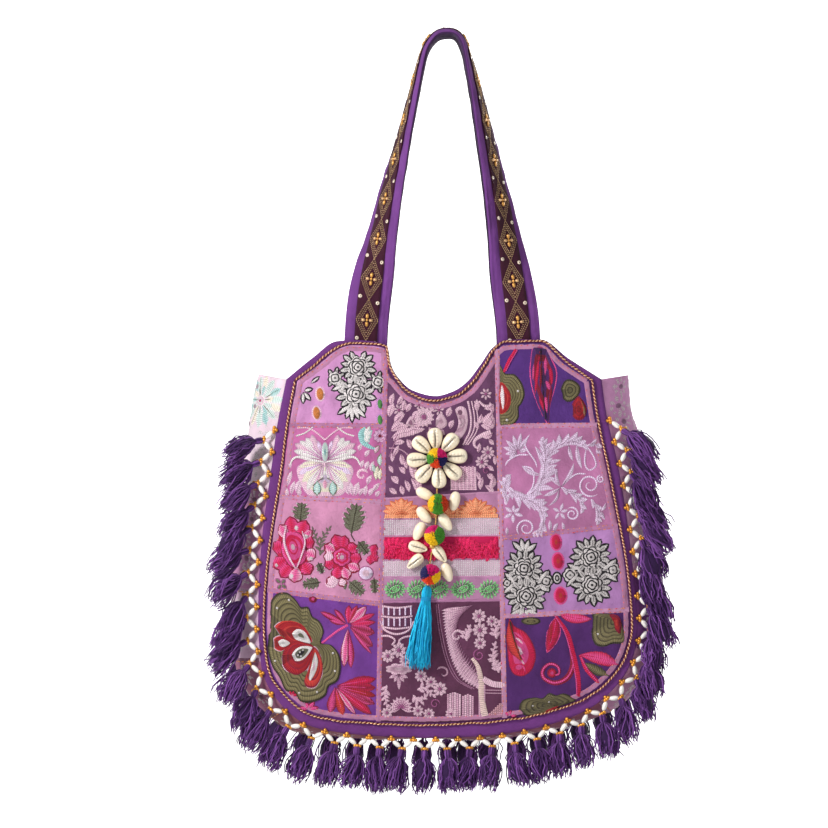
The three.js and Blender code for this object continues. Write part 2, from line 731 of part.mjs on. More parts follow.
const patches = [
  ...patchColumn(
    LEFT_PATCHES,
    (z) => hemWhere("y", z, 0, hemShare.left),
    seamEdge(leftSeam, -1),
    mouth.slice(0, NECKLINE.from + 1),
    { left: footLeft, right: leftSeam.foot - SEAM_SLIT / 2 },
  ),
  ...patchColumn(
    MIDDLE_PATCHES,
    seamEdge(leftSeam, 1),
    seamEdge(rightSeam, -1),
    mouth.slice(NECKLINE.from + 1, NECKLINE.to + 2),
    { left: leftSeam.foot + SEAM_SLIT / 2, right: rightSeam.foot - SEAM_SLIT / 2 },
  ),
  ...patchColumn(
    RIGHT_PATCHES,
    seamEdge(rightSeam, 1),
    (z) => hemWhere("y", z, hemShare.right, 1),
    mouth.slice(NECKLINE.to + 1),
    { left: rightSeam.foot + SEAM_SLIT / 2, right: footRight },
  ),
];
for (const { name, colour, geometry } of patches) {
  add(name, geometry, colour);
}

add("edge_cord", edgeCord(), "gold", CORD_FINISH);
add("strap_front", strap(), "purple");
add("strap_trim_front", strapTrim(), "maroon");
add("strap_back", mirrored(strap()), "purple");
add("strap_trim_back", mirrored(strapTrim()), "maroon");
add("fringe_front", fringe(FRONT), "tassel");
add("fringe_back", fringe(BACK), "tassel");

for (let i = 0; i < FLOWER.shells; i++) {
  const turn = FLOWER.first - (360 / FLOWER.shells) * i;
  const x = FLOWER.x + FLOWER.ring * Math.cos(radians(turn));
  const z = FLOWER.z + FLOWER.ring * Math.sin(radians(turn));
  const geometry = shell(FLOWER_SHELL, x, z, turn - 90, FLOWER.stand);
  add(`flower_shell_${i + 1}`, geometry, "ivory", SHELL_FINISH);
}
add("flower_pompom", pompom(FLOWER.x, FLOWER.z, FLOWER.pompomStand), "yellow");

CHARM_SHELLS.forEach(({ x, z, lean, stand }, i) => {
  add(`charm_shell_${i + 1}`, shell(CHARM_SHELL, x, z, lean, stand), "ivory", SHELL_FINISH);
});
CHARM_POMPOMS.forEach(({ x, z, stand }, i) => {
  add(`charm_pompom_${i + 1}`, pompom(x, z, stand), "yellow");
});
const charmPath = CHARM_CORD.map((row) => over(FRONT, plan(row.x, row.z), row.stand));
add("charm_cord", sweep(charmPath, round(CHARM_CORD_RADIUS, CORD_SIDES)), "gold");
add("charm_tassel", charmTassel(), "turquoise");

export default bag;
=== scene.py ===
import math

import bpy
import numpy as np
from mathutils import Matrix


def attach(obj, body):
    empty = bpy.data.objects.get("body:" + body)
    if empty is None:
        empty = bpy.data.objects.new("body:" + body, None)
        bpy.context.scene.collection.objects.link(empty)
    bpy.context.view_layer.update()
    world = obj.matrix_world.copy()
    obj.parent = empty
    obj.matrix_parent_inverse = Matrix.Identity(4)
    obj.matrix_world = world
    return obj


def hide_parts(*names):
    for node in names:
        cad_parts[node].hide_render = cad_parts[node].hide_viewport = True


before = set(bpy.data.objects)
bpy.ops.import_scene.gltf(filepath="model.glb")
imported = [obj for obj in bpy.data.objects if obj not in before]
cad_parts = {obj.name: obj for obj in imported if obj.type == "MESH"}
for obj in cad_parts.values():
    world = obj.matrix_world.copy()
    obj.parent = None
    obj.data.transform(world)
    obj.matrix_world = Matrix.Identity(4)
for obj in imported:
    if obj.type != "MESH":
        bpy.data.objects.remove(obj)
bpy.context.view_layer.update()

# The bag's own sizes, in millimetres, as in the part's source
METRES = 0.001
CLOTH = 1.6
DEPTH = 96
FRONT_BELLY, BACK_BELLY = 15, 9
BELLY_REACH, BELLY_DROP = 215, 1.3
MOUTH_Z, BASE_Z = -305, -706
BACK_LIFT = 14
SIDE_SWELL, BASE_SWELL = 29, 9
STRAP_WIDTH = 43
STRAP_FOOT_Y, STRAP_CROWN_Y, STRAP_FOOT_Z = 41.6, 22.6, -300
TRIM_WIDTH = 23
TASSELS = 41
FRINGE_INNER, FRINGE_OUTER = 2.4, 11
FRINGE_LEFT, FRINGE_RIGHT = 52, 42

# x, z and border width along the patchwork's hem, from the left mouth corner round to the right one
HEM = np.array([
    (-152, -348, 11), (-160, -393, 12), (-166, -440, 12.5), (-174, -490, 11.5), (-180, -535, 9.5),
    (-183, -580, 8), (-182, -612, 8), (-177, -640, 9), (-163, -661, 11), (-140, -679, 13),
    (-108, -686, 14), (-66, -689, 15), (-15, -690, 15.5), (40, -687, 16), (88, -680, 15),
    (126, -668, 14), (150, -654, 12), (170, -632, 10.5), (180, -604, 8.5), (180, -572, 7.5),
    (175, -527, 8), (166, -478, 11), (156, -429, 12.5), (147, -387, 11.5), (141, -348, 12)], float)
# shares of the hem at the two lower corners
HEM_LEFT, HEM_RIGHT = 8 / 24, 16 / 24
# x, z and border along the mouth: shoulder, ear, neckline, ear, shoulder
MOUTH = np.array([
    (-130, -331, 9), (-109, -315, 8), (-98, -312, 5), (-64, -315, 4), (-62, -332, 4), (-53, -348, 4),
    (-38, -361, 4), (-13, -367, 4), (6, -362, 4), (21, -352, 4), (36, -333, 4), (48, -316, 4),
    (56, -311, 4), (91, -310, 4), (116, -330, 6)], float)
# x of the two long seams at the mouth and at the foot
SEAMS = {"left": (-63, -71), "right": (48, 56)}
# Patches from the top: name, heights of the lower seam at its left and right end, slot, ground colour
LEFT_COLUMN = [
    ("patch_white_rose", -392, -393, "lilac_cloth", (200, 140, 190)),
    ("patch_lotus", -464, -469, "lotus_cloth", (188, 104, 156)),
    ("patch_pink_rose", -557, -571, "pink_cloth", (196, 134, 168)),
    ("patch_peony", None, None, "violet_cloth", (110, 58, 140))]
MIDDLE_COLUMN = [
    ("patch_vine", -466, -459, "mauve_print", (98, 60, 92)),
    ("lace_orange", -486, -484, "orange_lace", (176, 122, 158)),
    ("lace_silver_upper", -503, -502, "silver_braid", (206, 176, 194)),
    ("lace_magenta", -527, -526, "magenta_lace", (188, 26, 80)),
    ("lace_silver_lower", -544, -543, "silver_braid", (206, 176, 194)),
    ("lace_green", -569, -567, "green_lace", (176, 124, 160)),
    ("patch_garden", None, None, "mauve_print", (92, 50, 76))]
RIGHT_COLUMN = [
    ("patch_bud", -393, -392, "violet_cloth", (80, 45, 116)),
    ("patch_scroll", -505, -493, "lilac_cloth", (176, 112, 154)),
    ("patch_silver_rose", -583, -577, "lilac_cloth", (170, 122, 176)),
    ("patch_stem", None, None, "violet_cloth", (76, 38, 98))]
# x, z and turn along a strap
STRAP = np.array([
    (-84, -340, 0), (-83, -300, 0), (-80, -267, 4), (-74.5, -235, 24), (-68.5, -207, 44), (-60.5, -167, 56),
    (-53, -135, 65), (-46.5, -107, 72), (-37.5, -70, 79), (-28, -30, 85), (-22, -12, 88), (-12, 0.5, 88),
    (0, 3.2, 88), (9, 0, 88), (15.5, -12, 88), (21.5, -33, 82), (28, -59, 76), (36, -97, 68),
    (43.5, -135, 61), (50, -167, 52), (56.5, -205, 40), (62, -240, 20), (67.5, -275, 4), (70, -302, 0),
    (70.5, -340, 0)], float)
# share along the fringe and lean of the tassels, left positive
LEAN = np.array([(0, 70), (.1, 62), (.22, 48), (.32, 30), (.42, 9), (.55, 0), (.66, -6), (.78, -20),
                 (.9, -38), (1, -58)], float)


# Numbers and lines

def mix(a, b, t):
    return a + (b - a) * t


def smooth(low, high, x):
    t = np.clip((x - low) / (high - low), 0, 1)
    return t * t * (3 - 2 * t)


def unit(v):
    return v / np.maximum(np.linalg.norm(v, axis=-1, keepdims=True), 1e-9)


def heading_of(angle):
    """The direction of an angle, in two numbers."""
    return np.array([math.cos(angle), math.sin(angle)])


def srgb(r, g, b):
    """A colour as it is seen, turned into light."""
    c = np.array([r, g, b], float) / 255
    return np.where(c <= 0.04045, c / 12.92, ((c + 0.055) / 1.055) ** 2.4)


def catmull(points, share):
    """A smooth line through points, at shares from 0 to 1 of its rows."""
    points = np.asarray(points, float)
    place = np.clip(np.asarray(share, float), 0, 1) * (len(points) - 1)
    i = np.minimum(place.astype(int), len(points) - 2)
    t = (place - i)[..., None]
    p0, p1, p2 = points[np.maximum(i - 1, 0)], points[i], points[i + 1]
    p3 = points[np.minimum(i + 2, len(points) - 1)]
    v0, v1 = (p2 - p0) / 2, (p3 - p1) / 2
    return (2 * p1 - 2 * p2 + v0 + v1) * t ** 3 + (3 * p2 - 3 * p1 - 2 * v0 - v1) * t ** 2 + v0 * t + p1


def run(points):
    """Length along a line of points, up to each of them."""
    return np.concatenate([[0], np.cumsum(np.linalg.norm(np.diff(points, axis=0), axis=1))])


def resample(points, count):
    """The same line with a count of points at even steps."""
    points = np.asarray(points, float)
    length = run(points)
    at = np.linspace(0, length[-1], count)
    return np.stack([np.interp(at, length, column) for column in points.T], 1)


def even(points, step):
    """The same line with points about a step apart."""
    points = np.asarray(points, float)
    return resample(points, max(2, int(round(run(points)[-1] / step)) + 1))


def line(points, step=1.5):
    """A smooth line through a few points, at even steps."""
    return even(catmull(points, np.linspace(0, 1, 12 * len(points))), step)


def ripple(x, z, size, seed):
    """Slow smooth unevenness between -1 and 1."""
    r = np.random.default_rng(seed)
    total = 0
    for _ in range(6):
        a, p = r.uniform(0, 2 * math.pi, 2)
        k = 2 * math.pi / (size * r.uniform(0.6, 1.6))
        total = total + np.sin(k * (x * math.cos(a) + z * math.sin(a)) + p)
    return total / 3.2


# Outlines of the bag

def fall(z):
    """Share of the way from the mouth down to the foot."""
    return np.clip((MOUTH_Z - z) / (MOUTH_Z - BASE_Z), 0, 1)


def belly(x, z):
    return np.maximum(0, 1 - (x / BELLY_REACH) ** 2) * np.sin(math.pi * fall(z) ** BELLY_DROP)


def front_y(x, z):
    return -DEPTH / 2 - FRONT_BELLY * belly(x, z)


def back_y(x, z):
    return DEPTH / 2 + BACK_BELLY * belly(x, z)


def back_z(z):
    """The back hangs a little higher than the front."""
    return z + BACK_LIFT * fall(z) ** 2


def over_front(x, z, stand):
    """A point that stands off the front wall."""
    return np.array([x, front_y(np.float64(x), np.float64(z)) - stand, z])


def hem_point(share):
    return catmull(HEM[:, :2], share)


def hem_out(share):
    """The way out of the hem, square to it."""
    share = np.asarray(share, float)
    d = unit(hem_point(np.minimum(share + 1e-4, 1)) - hem_point(np.maximum(share - 1e-4, 0)))
    return np.stack([d[..., 1], -d[..., 0]], -1)


def over_hem(share, width):
    return hem_point(share) + hem_out(share) * np.asarray(width)[..., None]


def panel_edge(share, extra=0.0):
    """The panel's edge, a border's width outside the hem."""
    border = np.interp(share, np.linspace(0, 1, len(HEM)), HEM[:, 2])
    return over_hem(share, border + extra)


HEM_FINE = np.linspace(0, 1, 2401)
HEM_LINE = hem_point(HEM_FINE)


def hem_where(axis, value, low, high):
    """Points of the hem between two shares where x or z has a value."""
    part = (HEM_FINE >= low - 1e-6) & (HEM_FINE <= high + 1e-6)
    key, other = HEM_LINE[part, axis], HEM_LINE[part, 1 - axis]
    order = np.argsort(key)
    found = np.interp(value, key[order], other[order])
    value = np.clip(value, key.min(), key.max())
    return np.stack([value, found] if axis == 0 else [found, value], -1)


def over_mouth(width=None):
    """Points outside the mouth, by the border's width or by a given one."""
    full = np.concatenate([hem_point(np.array([0.0])), MOUTH[:, :2], hem_point(np.array([1.0]))])
    d = unit(full[2:] - full[:-2])
    w = MOUTH[:, 2] if width is None else np.broadcast_to(width, len(MOUTH))
    return MOUTH[:, :2] + np.stack([-d[:, 1], d[:, 0]], 1) * w[:, None]


def monotone(points):
    """A function z(x) through points that run from left to right, with no overshoot."""
    x, z = points[:, 0], points[:, 1]
    h, s = np.diff(x), np.diff(z) / np.diff(x)
    m = np.concatenate([[s[0]], np.zeros(len(s) - 1), [s[-1]]])
    same = s[:-1] * s[1:] > 0
    w1, w2 = 2 * h[1:] + h[:-1], h[1:] + 2 * h[:-1]
    before, after = np.where(same, s[:-1], 1), np.where(same, s[1:], 1)
    m[1:-1] = np.where(same, (w1 + w2) / (w1 / before + w2 / after), 0)

    def at(value):
        i = np.clip(np.searchsorted(x, value) - 1, 0, len(h) - 1)
        t = (np.clip(value, x[0], x[-1]) - x[i]) / h[i]
        a, b = (1 + 2 * t) * (1 - t) ** 2, t * (1 - t) ** 2
        c, d = t * t * (3 - 2 * t), t * t * (t - 1)
        return a * z[i] + b * h[i] * m[i] + c * z[i + 1] + d * h[i] * m[i + 1]
    return at


def left_hem(z):
    return hem_where(1, z, 0, HEM_LEFT)[..., 0]


def left_seam(z):
    return mix(*SEAMS["left"], fall(z))


def right_seam(z):
    return mix(*SEAMS["right"], fall(z))


def right_hem(z):
    return hem_where(1, z, HEM_RIGHT, 1)[..., 0]


# the patches of each column, and the functions for its left and right edge
COLUMNS = [(LEFT_COLUMN, left_hem, left_seam), (MIDDLE_COLUMN, left_seam, right_seam),
           (RIGHT_COLUMN, right_seam, right_hem)]
PATCHES = LEFT_COLUMN + MIDDLE_COLUMN + RIGHT_COLUMN


def row_seams():
    """Each seam between two patches of a column: the patch over it, its left and its right end."""
    seams = []
    for rows, left, right in COLUMNS:
        for name, a, b, *_ in rows:
            if a is not None:
                seams.append((name, (float(left(a)), a), (float(right(b)), b)))
    return seams


ROW_SEAMS = row_seams()
MOUTH_EDGE = monotone(np.concatenate([HEM[:1, :2], MOUTH[:, :2], HEM[-1:, :2]]))


# Relief of the front

def seam_gap(x, z):
    """Distance to the nearest seam of the patchwork."""
    gap = np.minimum(np.abs(x - left_seam(z)), np.abs(x - right_seam(z)))
    for _, a, b in ROW_SEAMS:
        inside = (x > a[0] - 1) & (x < b[0] + 1)
        seam = a[1] + (b[1] - a[1]) * (x - a[0]) / (b[0] - a[0])
        gap = np.where(inside, np.minimum(gap, np.abs(z - seam)), gap)
    return gap


def cloth_relief():
    """How far the patchwork stands out: it puffs between its seams and puckers along them."""
    x, z = np.meshgrid(RELIEF_X, RELIEF_Z)
    gap = seam_gap(x, z)
    mouth = np.linspace(HEM[0, 0], HEM[-1, 0], 3000)
    edge = np.concatenate([HEM_LINE[::10], even(np.stack([mouth, MOUTH_EDGE(mouth)], 1), 2)])
    rim = np.stack([np.sqrt(((row[:, None] - edge[None]) ** 2).sum(-1)).min(1)
                    for row in np.stack([x, z], -1)])
    puff = (1 - np.exp(-(gap / SEAM_REACH) ** 2)) * (1 - np.exp(-(rim / RIM_REACH) ** 2))
    waves = np.sin(0.55 * z + 1.3 * np.sin(0.09 * x)) * np.sin(0.5 * x)
    return PUFF * puff + PUCKER * waves * np.exp(-np.minimum(gap, rim) / SEAM_REACH)


PUFF, PUCKER, SEAM_REACH, RIM_REACH = 1.7, 0.5, 7, 6
RELIEF_X, RELIEF_Z = np.arange(-262, 245.0), np.arange(-765, -285.0)
RELIEF = cloth_relief()


def relief(x, z):
    """The relief at any place, between its samples of one millimetre."""
    i = np.clip(x - RELIEF_X[0], 0, len(RELIEF_X) - 1.001)
    j = np.clip(z - RELIEF_Z[0], 0, len(RELIEF_Z) - 1.001)
    a, b = i.astype(int), j.astype(int)
    p, q = i - a, j - b
    low = RELIEF[b, a] * (1 - p) + RELIEF[b, a + 1] * p
    high = RELIEF[b + 1, a] * (1 - p) + RELIEF[b + 1, a + 1] * p
    return low * (1 - q) + high * q


def uneven(x, z):
    return 0.6 * ripple(x, z, 46, 3) + 0.42 * ripple(x, z, 15, 4) + 0.2 * ripple(x, z, 7, 5)


def on_panel(x, z, lift=0.0):
    """A point on the front wall."""
    return np.stack([x, front_y(x, z) - uneven(x, z) - lift, z], -1)


def on_patch(x, z, lift=0.0):
    """A point on the patchwork over the front wall."""
    return on_panel(x, z, 0.6 + relief(x, z) + lift)


# Meshes

def grid_faces(rows, columns):
    """The quads of a net of points."""
    i, j = np.meshgrid(np.arange(rows - 1), np.arange(columns - 1), indexing="ij")
    a = i * columns + j
    return np.stack([a, a + 1, a + 1 + columns, a + columns], -1).reshape(-1, 4)


def closed_faces(rings, sides):
    """Quads between rings of points, and triangles to the two poles, which come last."""
    i, k = np.arange(rings - 1)[:, None] * sides, np.arange(sides)
    after = (k + 1) % sides
    quads = np.stack([i + k, i + sides + k, i + sides + after, i + after], -1).reshape(-1, 4)
    low, pole = (rings - 1) * sides, rings * sides
    top = np.stack([np.full(sides, pole), k, after], -1)
    foot = np.stack([np.full(sides, pole + 1), low + after, low + k], -1)
    return quads, np.concatenate([top, foot])


def turned(template):
    """A template with its faces turned the other way."""
    points, quads, tris = template
    return points, quads[:, ::-1], tris[:, ::-1]


def ball(rings, sides):
    """A unit ball with its poles on the third axis."""
    lat = np.linspace(0, math.pi, rings + 1)[1:-1, None]
    turn = 2 * math.pi * np.arange(sides) / sides
    round_ = [np.sin(lat) * np.cos(turn), np.sin(lat) * np.sin(turn), np.repeat(np.cos(lat), sides, 1)]
    points = np.concatenate([np.stack(round_, -1).reshape(-1, 3), [[0, 0, 1], [0, 0, -1]]])
    return points, *closed_faces(rings - 1, sides)


class Shape:
    """Collects points, faces, colours and thread directions, and becomes one object."""

    def __init__(self):
        self.points, self.quads, self.tris, self.colours, self.uvs = [], [], [], [], []
        self.quad_mats, self.tri_mats, self.count = [], [], 0

    def add(self, points, quads=None, tris=None, colour=(1, 1, 1), uv=None, mat=0):
        """Takes in points with their faces, colours, thread places and material number."""
        points = np.asarray(points, float).reshape(-1, 3)
        n = len(points)
        self.points.append(points)
        self.colours.append(np.broadcast_to(np.asarray(colour, float).reshape(-1, 3), (n, 3)))
        self.uvs.append(np.zeros((n, 2)) if uv is None else np.asarray(uv, float).reshape(-1, 2))
        for faces, store, mats in ((quads, self.quads, self.quad_mats), (tris, self.tris, self.tri_mats)):
            if faces is not None and len(faces):
                store.append(np.asarray(faces, int) + self.count)
                mats.append(np.full(len(faces), mat))
        self.count += n

    def grid(self, points, colour, uv, mat=0):
        """A net of points seen from its front."""
        self.add(points, grid_faces(*points.shape[:2])[:, ::-1], colour=colour, uv=uv, mat=mat)

    def slab(self, outer, inner, colour=(1, 1, 1), inner_mat=0, flip=False):
        """A sheet with thickness, closed round its rim."""
        rows, columns = outer.shape[:2]
        n = rows * columns
        face = grid_faces(rows, columns)
        ring = np.concatenate([np.arange(columns), np.arange(1, rows) * columns + columns - 1,
                               (rows - 1) * columns + np.arange(columns - 2, -1, -1),
                               np.arange(rows - 2, 0, -1) * columns])
        after = np.roll(ring, -1)
        rim = np.stack([after, ring, ring + n, after + n], -1)
        back = face[:, ::-1] + n
        if flip:
            face, back, rim = face[:, ::-1], back[:, ::-1], rim[:, ::-1]
        colour = np.asarray(colour, float)
        if colour.ndim == 3:
            colour = np.concatenate([colour, colour])
        first = self.count
        self.add(np.concatenate([outer, inner]), np.concatenate([face, rim]), colour=colour)
        self.quads.append(back + first)
        self.quad_mats.append(np.full(len(back), inner_mat))

    def tubes(self, paths, radius, sides=4, colour=(1, 1, 1), up=(0.31, -0.87, 0.38)):
        """Many tubes of the same number of steps: paths is tubes x steps x 3."""
        paths = np.asarray(paths, float)
        if paths.ndim == 2:
            paths = paths[None]
        count, steps = paths.shape[:2]
        radius = np.broadcast_to(np.asarray(radius, float), (count, steps))
        heading = unit(np.gradient(paths, axis=1))
        side = unit(np.cross(heading, np.asarray(up, float)))
        out = np.cross(side, heading)
        turn = 2 * math.pi * np.arange(sides) / sides
        ring = side[:, :, None] * np.cos(turn)[:, None] + out[:, :, None] * np.sin(turn)[:, None]
        points = paths[:, :, None] + ring * radius[:, :, None, None]
        t, i, j = np.meshgrid(np.arange(count), np.arange(steps - 1), np.arange(sides), indexing="ij")
        base = (t * steps + i) * sides
        a, b = base + j, base + (j + 1) % sides
        quads = np.stack([b, a, a + sides, b + sides], -1).reshape(-1, 4)
        first, last = np.arange(count) * steps * sides, (np.arange(count) * steps + steps - 1) * sides
        ends = []
        for k in range(1, sides - 1):
            ends.append(np.stack([first, first + k, first + k + 1], -1))
            ends.append(np.stack([last, last + k + 1, last + k], -1))
        colour = np.asarray(colour, float)
        if colour.ndim == 2:
            colour = np.repeat(colour, steps * sides, axis=0)
        self.add(points, quads, np.concatenate(ends), colour)

    def copies(self, template, centres, axes, colour):
        """Copies of a template at centres, each with its own three axes as rows."""
        points, quads, tris = template
        count, n = len(centres), len(points)
        axes = np.broadcast_to(np.asarray(axes, float), (count, 3, 3))
        placed = np.einsum("pk,nkd->npd", points, axes) + np.asarray(centres, float)[:, None]
        shift = (np.arange(count) * n)[:, None, None]
        colour = np.asarray(colour, float)
        if colour.ndim == 2:
            colour = np.repeat(colour, n, axis=0)
        self.add(placed, (quads + shift).reshape(-1, 4), (tris + shift).reshape(-1, 3), colour)

    def object(self, name, materials, slot, replaces=()):
        """The finished piece, riding the bag's one body."""
        points = np.concatenate(self.points) * METRES
        quads = np.concatenate(self.quads) if self.quads else np.zeros((0, 4), int)
        tris = np.concatenate(self.tris) if self.tris else np.zeros((0, 3), int)
        loops = np.concatenate([quads.ravel(), tris.ravel()])
        starts = np.concatenate([np.arange(len(quads)) * 4, len(quads) * 4 + np.arange(len(tris)) * 3])
        mesh = bpy.data.meshes.new(name)
        mesh.vertices.add(len(points))
        mesh.vertices.foreach_set("co", points.astype(np.float32).ravel())
        mesh.loops.add(len(loops))
        mesh.loops.foreach_set("vertex_index", loops.astype(np.int32))
        mesh.polygons.add(len(starts))
        mesh.polygons.foreach_set("loop_start", starts.astype(np.int32))
        mats = np.concatenate(self.quad_mats + self.tri_mats)
        mesh.polygons.foreach_set("material_index", mats.astype(np.int32))
        mesh.polygons.foreach_set("use_smooth", np.full(len(starts), True))
        tone = mesh.color_attributes.new("tone", "FLOAT_COLOR", "POINT")
        colours = np.concatenate([np.concatenate(self.colours), np.ones((len(points), 1))], 1)
        tone.data.foreach_set("color", colours.astype(np.float32).ravel())
        uv = mesh.uv_layers.new(name="thread")
        uv.data.foreach_set("uv", np.concatenate(self.uvs)[loops].astype(np.float32).ravel())
        mesh.update(calc_edges=True)
        for material in materials:
            mesh.materials.append(material)
        piece = bpy.data.objects.new(name, mesh)
        bpy.context.scene.collection.objects.link(piece)
        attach(piece, "root")
        if replaces:
            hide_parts(*([replaces] if isinstance(replaces, str) else replaces))
        return piece


# Materials

def material(name, rough=0.8, sheen=0.0, coat=0.0, metal=0.0, spec=0.4):
    """A new material. Returns the material, its tree of nodes and its shader."""
    m = bpy.data.materials.new(name)
    m.use_nodes = True
    shader = m.node_tree.nodes["Principled BSDF"]
    values = {"Roughness": rough, "Sheen Weight": sheen, "Sheen Roughness": 0.5, "Coat Weight": coat,
              "Coat Roughness": 0.12, "Metallic": metal, "Specular IOR Level": spec}
    for key, value in values.items():
        shader.inputs[key].default_value = value
    return m, m.node_tree, shader


def node(tree, kind, **values):
    """A new node with its inputs and settings. Underscores stand for spaces in an input's name."""
    n = tree.nodes.new(kind)
    for key, value in values.items():
        spaced = key.replace("_", " ")
        if spaced in n.inputs.keys():
            n.inputs[spaced].default_value = value
        else:
            setattr(n, key, value)
    return n


def places(tree):
    return node(tree, "ShaderNodeTexCoord").outputs["Object"]


def bump(tree, shader, heights, depth):
    """Joins several height outputs into one bump, each with its own weight."""
    total = None
    for output, weight in heights:
        scaled = node(tree, "ShaderNodeMath", operation="MULTIPLY")
        tree.links.new(output, scaled.inputs[0])
        scaled.inputs[1].default_value = weight
        if total is None:
            total = scaled.outputs[0]
        else:
            plus = node(tree, "ShaderNodeMath", operation="ADD")
            tree.links.new(total, plus.inputs[0])
            tree.links.new(scaled.outputs[0], plus.inputs[1])
            total = plus.outputs[0]
    b = node(tree, "ShaderNodeBump", Strength=0.8, Distance=depth)
    tree.links.new(total, b.inputs["Height"])
    tree.links.new(b.outputs["Normal"], shader.inputs["Normal"])


def noise(tree, coords, scale, detail):
    n = node(tree, "ShaderNodeTexNoise", Scale=scale, Detail=detail)
    tree.links.new(coords, n.inputs["Vector"])
    return n.outputs["Fac"]


def bands(tree, coords, direction, period, distort=0.6):
    """Threads across a surface, a period apart."""
    w = node(tree, "ShaderNodeTexWave", wave_type="BANDS", bands_direction=direction, Distortion=distort,
             Scale=2 * math.pi / 20 / period, Detail=1.0, Detail_Scale=1.5)
    tree.links.new(coords, w.inputs["Vector"])
    return w.outputs["Fac"]


def woven(tree, shader, coords, slubs, creases, depth):
    """Crossed threads, slubs and fine creases. Creases are given by their scale and weight."""
    threads = [(bands(tree, coords, way, WEAVE), 0.5) for way in ("X", "Z")]
    scale, weight = creases
    bump(tree, shader, threads + [(noise(tree, coords, 260, 3), slubs),
                                  (noise(tree, coords, scale, 4), weight)], depth)


def own_tone(tree):
    """The colour that the shape itself carries."""
    return node(tree, "ShaderNodeVertexColor", layer_name="tone").outputs["Color"]


def varied(tree, colour, factor, low, high):
    """A colour made darker or lighter by a factor."""
    vary = node(tree, "ShaderNodeMapRange", To_Min=low, To_Max=high)
    tree.links.new(factor, vary.inputs["Value"])
    times = node(tree, "ShaderNodeVectorMath", operation="SCALE")
    tree.links.new(colour, times.inputs[0])
    tree.links.new(vary.outputs["Result"], times.inputs["Scale"])
    return times.outputs["Vector"]


def cotton(name, colour, spread=0.16):
    """Plain woven cotton with faded places."""
    m, tree, shader = material(name, 0.9, 0.06, spec=0.2)
    coords = places(tree)
    ramp = node(tree, "ShaderNodeValToRGB")
    faded, full = ramp.color_ramp.elements
    faded.position, full.position = 0.3, 0.7
    faded.color = (*colour * (1 - spread), 1)
    full.color = (*np.minimum(colour * (1 + spread), 1), 1)
    tree.links.new(noise(tree, coords, 38, 4), ramp.inputs["Fac"])
    tree.links.new(ramp.outputs["Color"], shader.inputs["Base Color"])
    woven(tree, shader, coords, 2.2, (60, 5.0), 0.0004)
    return m


def print_cloth(name, spread=0.24):
    """Woven cloth that takes its ground colour from the shape's own tones."""
    m, tree, shader = material(name, 0.9, 0.06, spec=0.2)
    coords = places(tree)
    colour = varied(tree, own_tone(tree), noise(tree, coords, 60, 4), 1 - spread, 1 + spread)
    tree.links.new(colour, shader.inputs["Base Color"])
    woven(tree, shader, coords, 2.4, (70, 4.5), 0.0006)
    return m


def painted(name, rough, sheen=0.0, coat=0.0, metal=0.0, stitch=0, depth=0.0001, spread=0.14, spec=0.4):
    """Takes its colour from the shape's own tones. Stitches of a width in millimetres cross its thread."""
    m, tree, shader = material(name, rough, sheen, coat, metal, spec)
    coords = places(tree)
    colour = varied(tree, own_tone(tree), noise(tree, coords, 420, 2), 1 - spread, 1 + spread)
    heights = [(noise(tree, coords, 600, 3), 0.8)]
    if stitch:
        thread = node(tree, "ShaderNodeUVMap", uv_map="thread").outputs["UV"]
        lines = bands(tree, thread, "X", stitch, 1.2)
        # the stitch bands paint shade into the gaps between stitches and a slightly lighter top on each
        # stitch
        colour = varied(tree, colour, lines, 1 - STITCH_GAP_SHADE, 1 + STITCH_GAP_SHADE * 0.35)
        heights.append((lines, 1.4))
    tree.links.new(colour, shader.inputs["Base Color"])
    bump(tree, shader, heights, depth)
    return m


# period of the cotton's weave in metres, and how dark the painted shade in the gaps between stitches is
WEAVE, STITCH_GAP_SHADE = 0.0011, 0.3
PURPLE = cotton("purple_cotton", srgb(110, 60, 130))
BORDER = cotton("border_cotton", srgb(104, 52, 118), spread=0.09)
# the bag's lining, and also painted shade on the inner faces of the straps
LINING_AND_STRAP_SHADE = cotton("lining_and_strap_shade_cotton", srgb(66, 36, 80))
CLOTH_PRINT = print_cloth("patch_cloth")
THREAD = painted("stitch_thread", rough=0.6, sheen=0.05, stitch=1.9, spec=0.3, depth=0.0007)
GOLD = painted("gold_thread", rough=0.36, metal=0.75)
BEAD = painted("glass_bead", rough=0.28, coat=0.5, spread=0.05, spec=0.5)
SHELL = painted("cowrie", rough=0.34, coat=0.45, depth=0.00012, spread=0.08, spec=0.5)
WOOL = painted("wool", rough=0.95, sheen=0.1, spec=0.2, spread=0.2)
FLOSS = painted("tassel_floss", rough=0.8, sheen=0.08, spec=0.2, spread=0.22)


# Body of the bag

PANEL_STEPS, GUSSET_STEPS, PATCH_STEP = (90, 82), (290, 25), 2.6


def coons(top, bottom, left, right):
    """A net of points inside four edges. Top and bottom run to the right, left and right run down."""
    u = np.linspace(0, 1, len(top))[None, :, None]
    v = np.linspace(0, 1, len(left))[:, None, None]
    sides = left[:, None] * (1 - u) + right[:, None] * u
    ends = top[None] * (1 - v) + bottom[None] * v
    corners = (top[0] * (1 - u) + top[-1] * u) * (1 - v) + (bottom[0] * (1 - u) + bottom[-1] * u) * v
    return sides + ends - corners


def panel_net(columns, rows):
    """Even places over a wall, from its mouth down to its hem."""
    ends = panel_edge(np.array([0.0, 1.0]))
    edge = monotone(np.concatenate([ends[:1], over_mouth(), ends[1:]]))
    x = np.linspace(ends[0, 0], ends[1, 0], 4000)
    top = resample(np.stack([x, edge(x)], 1), columns)
    bottom = panel_edge(np.linspace(HEM_LEFT, HEM_RIGHT, columns))
    left = panel_edge(np.linspace(0, HEM_LEFT, rows))
    right = panel_edge(np.linspace(1, HEM_RIGHT, rows))
    return coons(top, bottom, left, right)


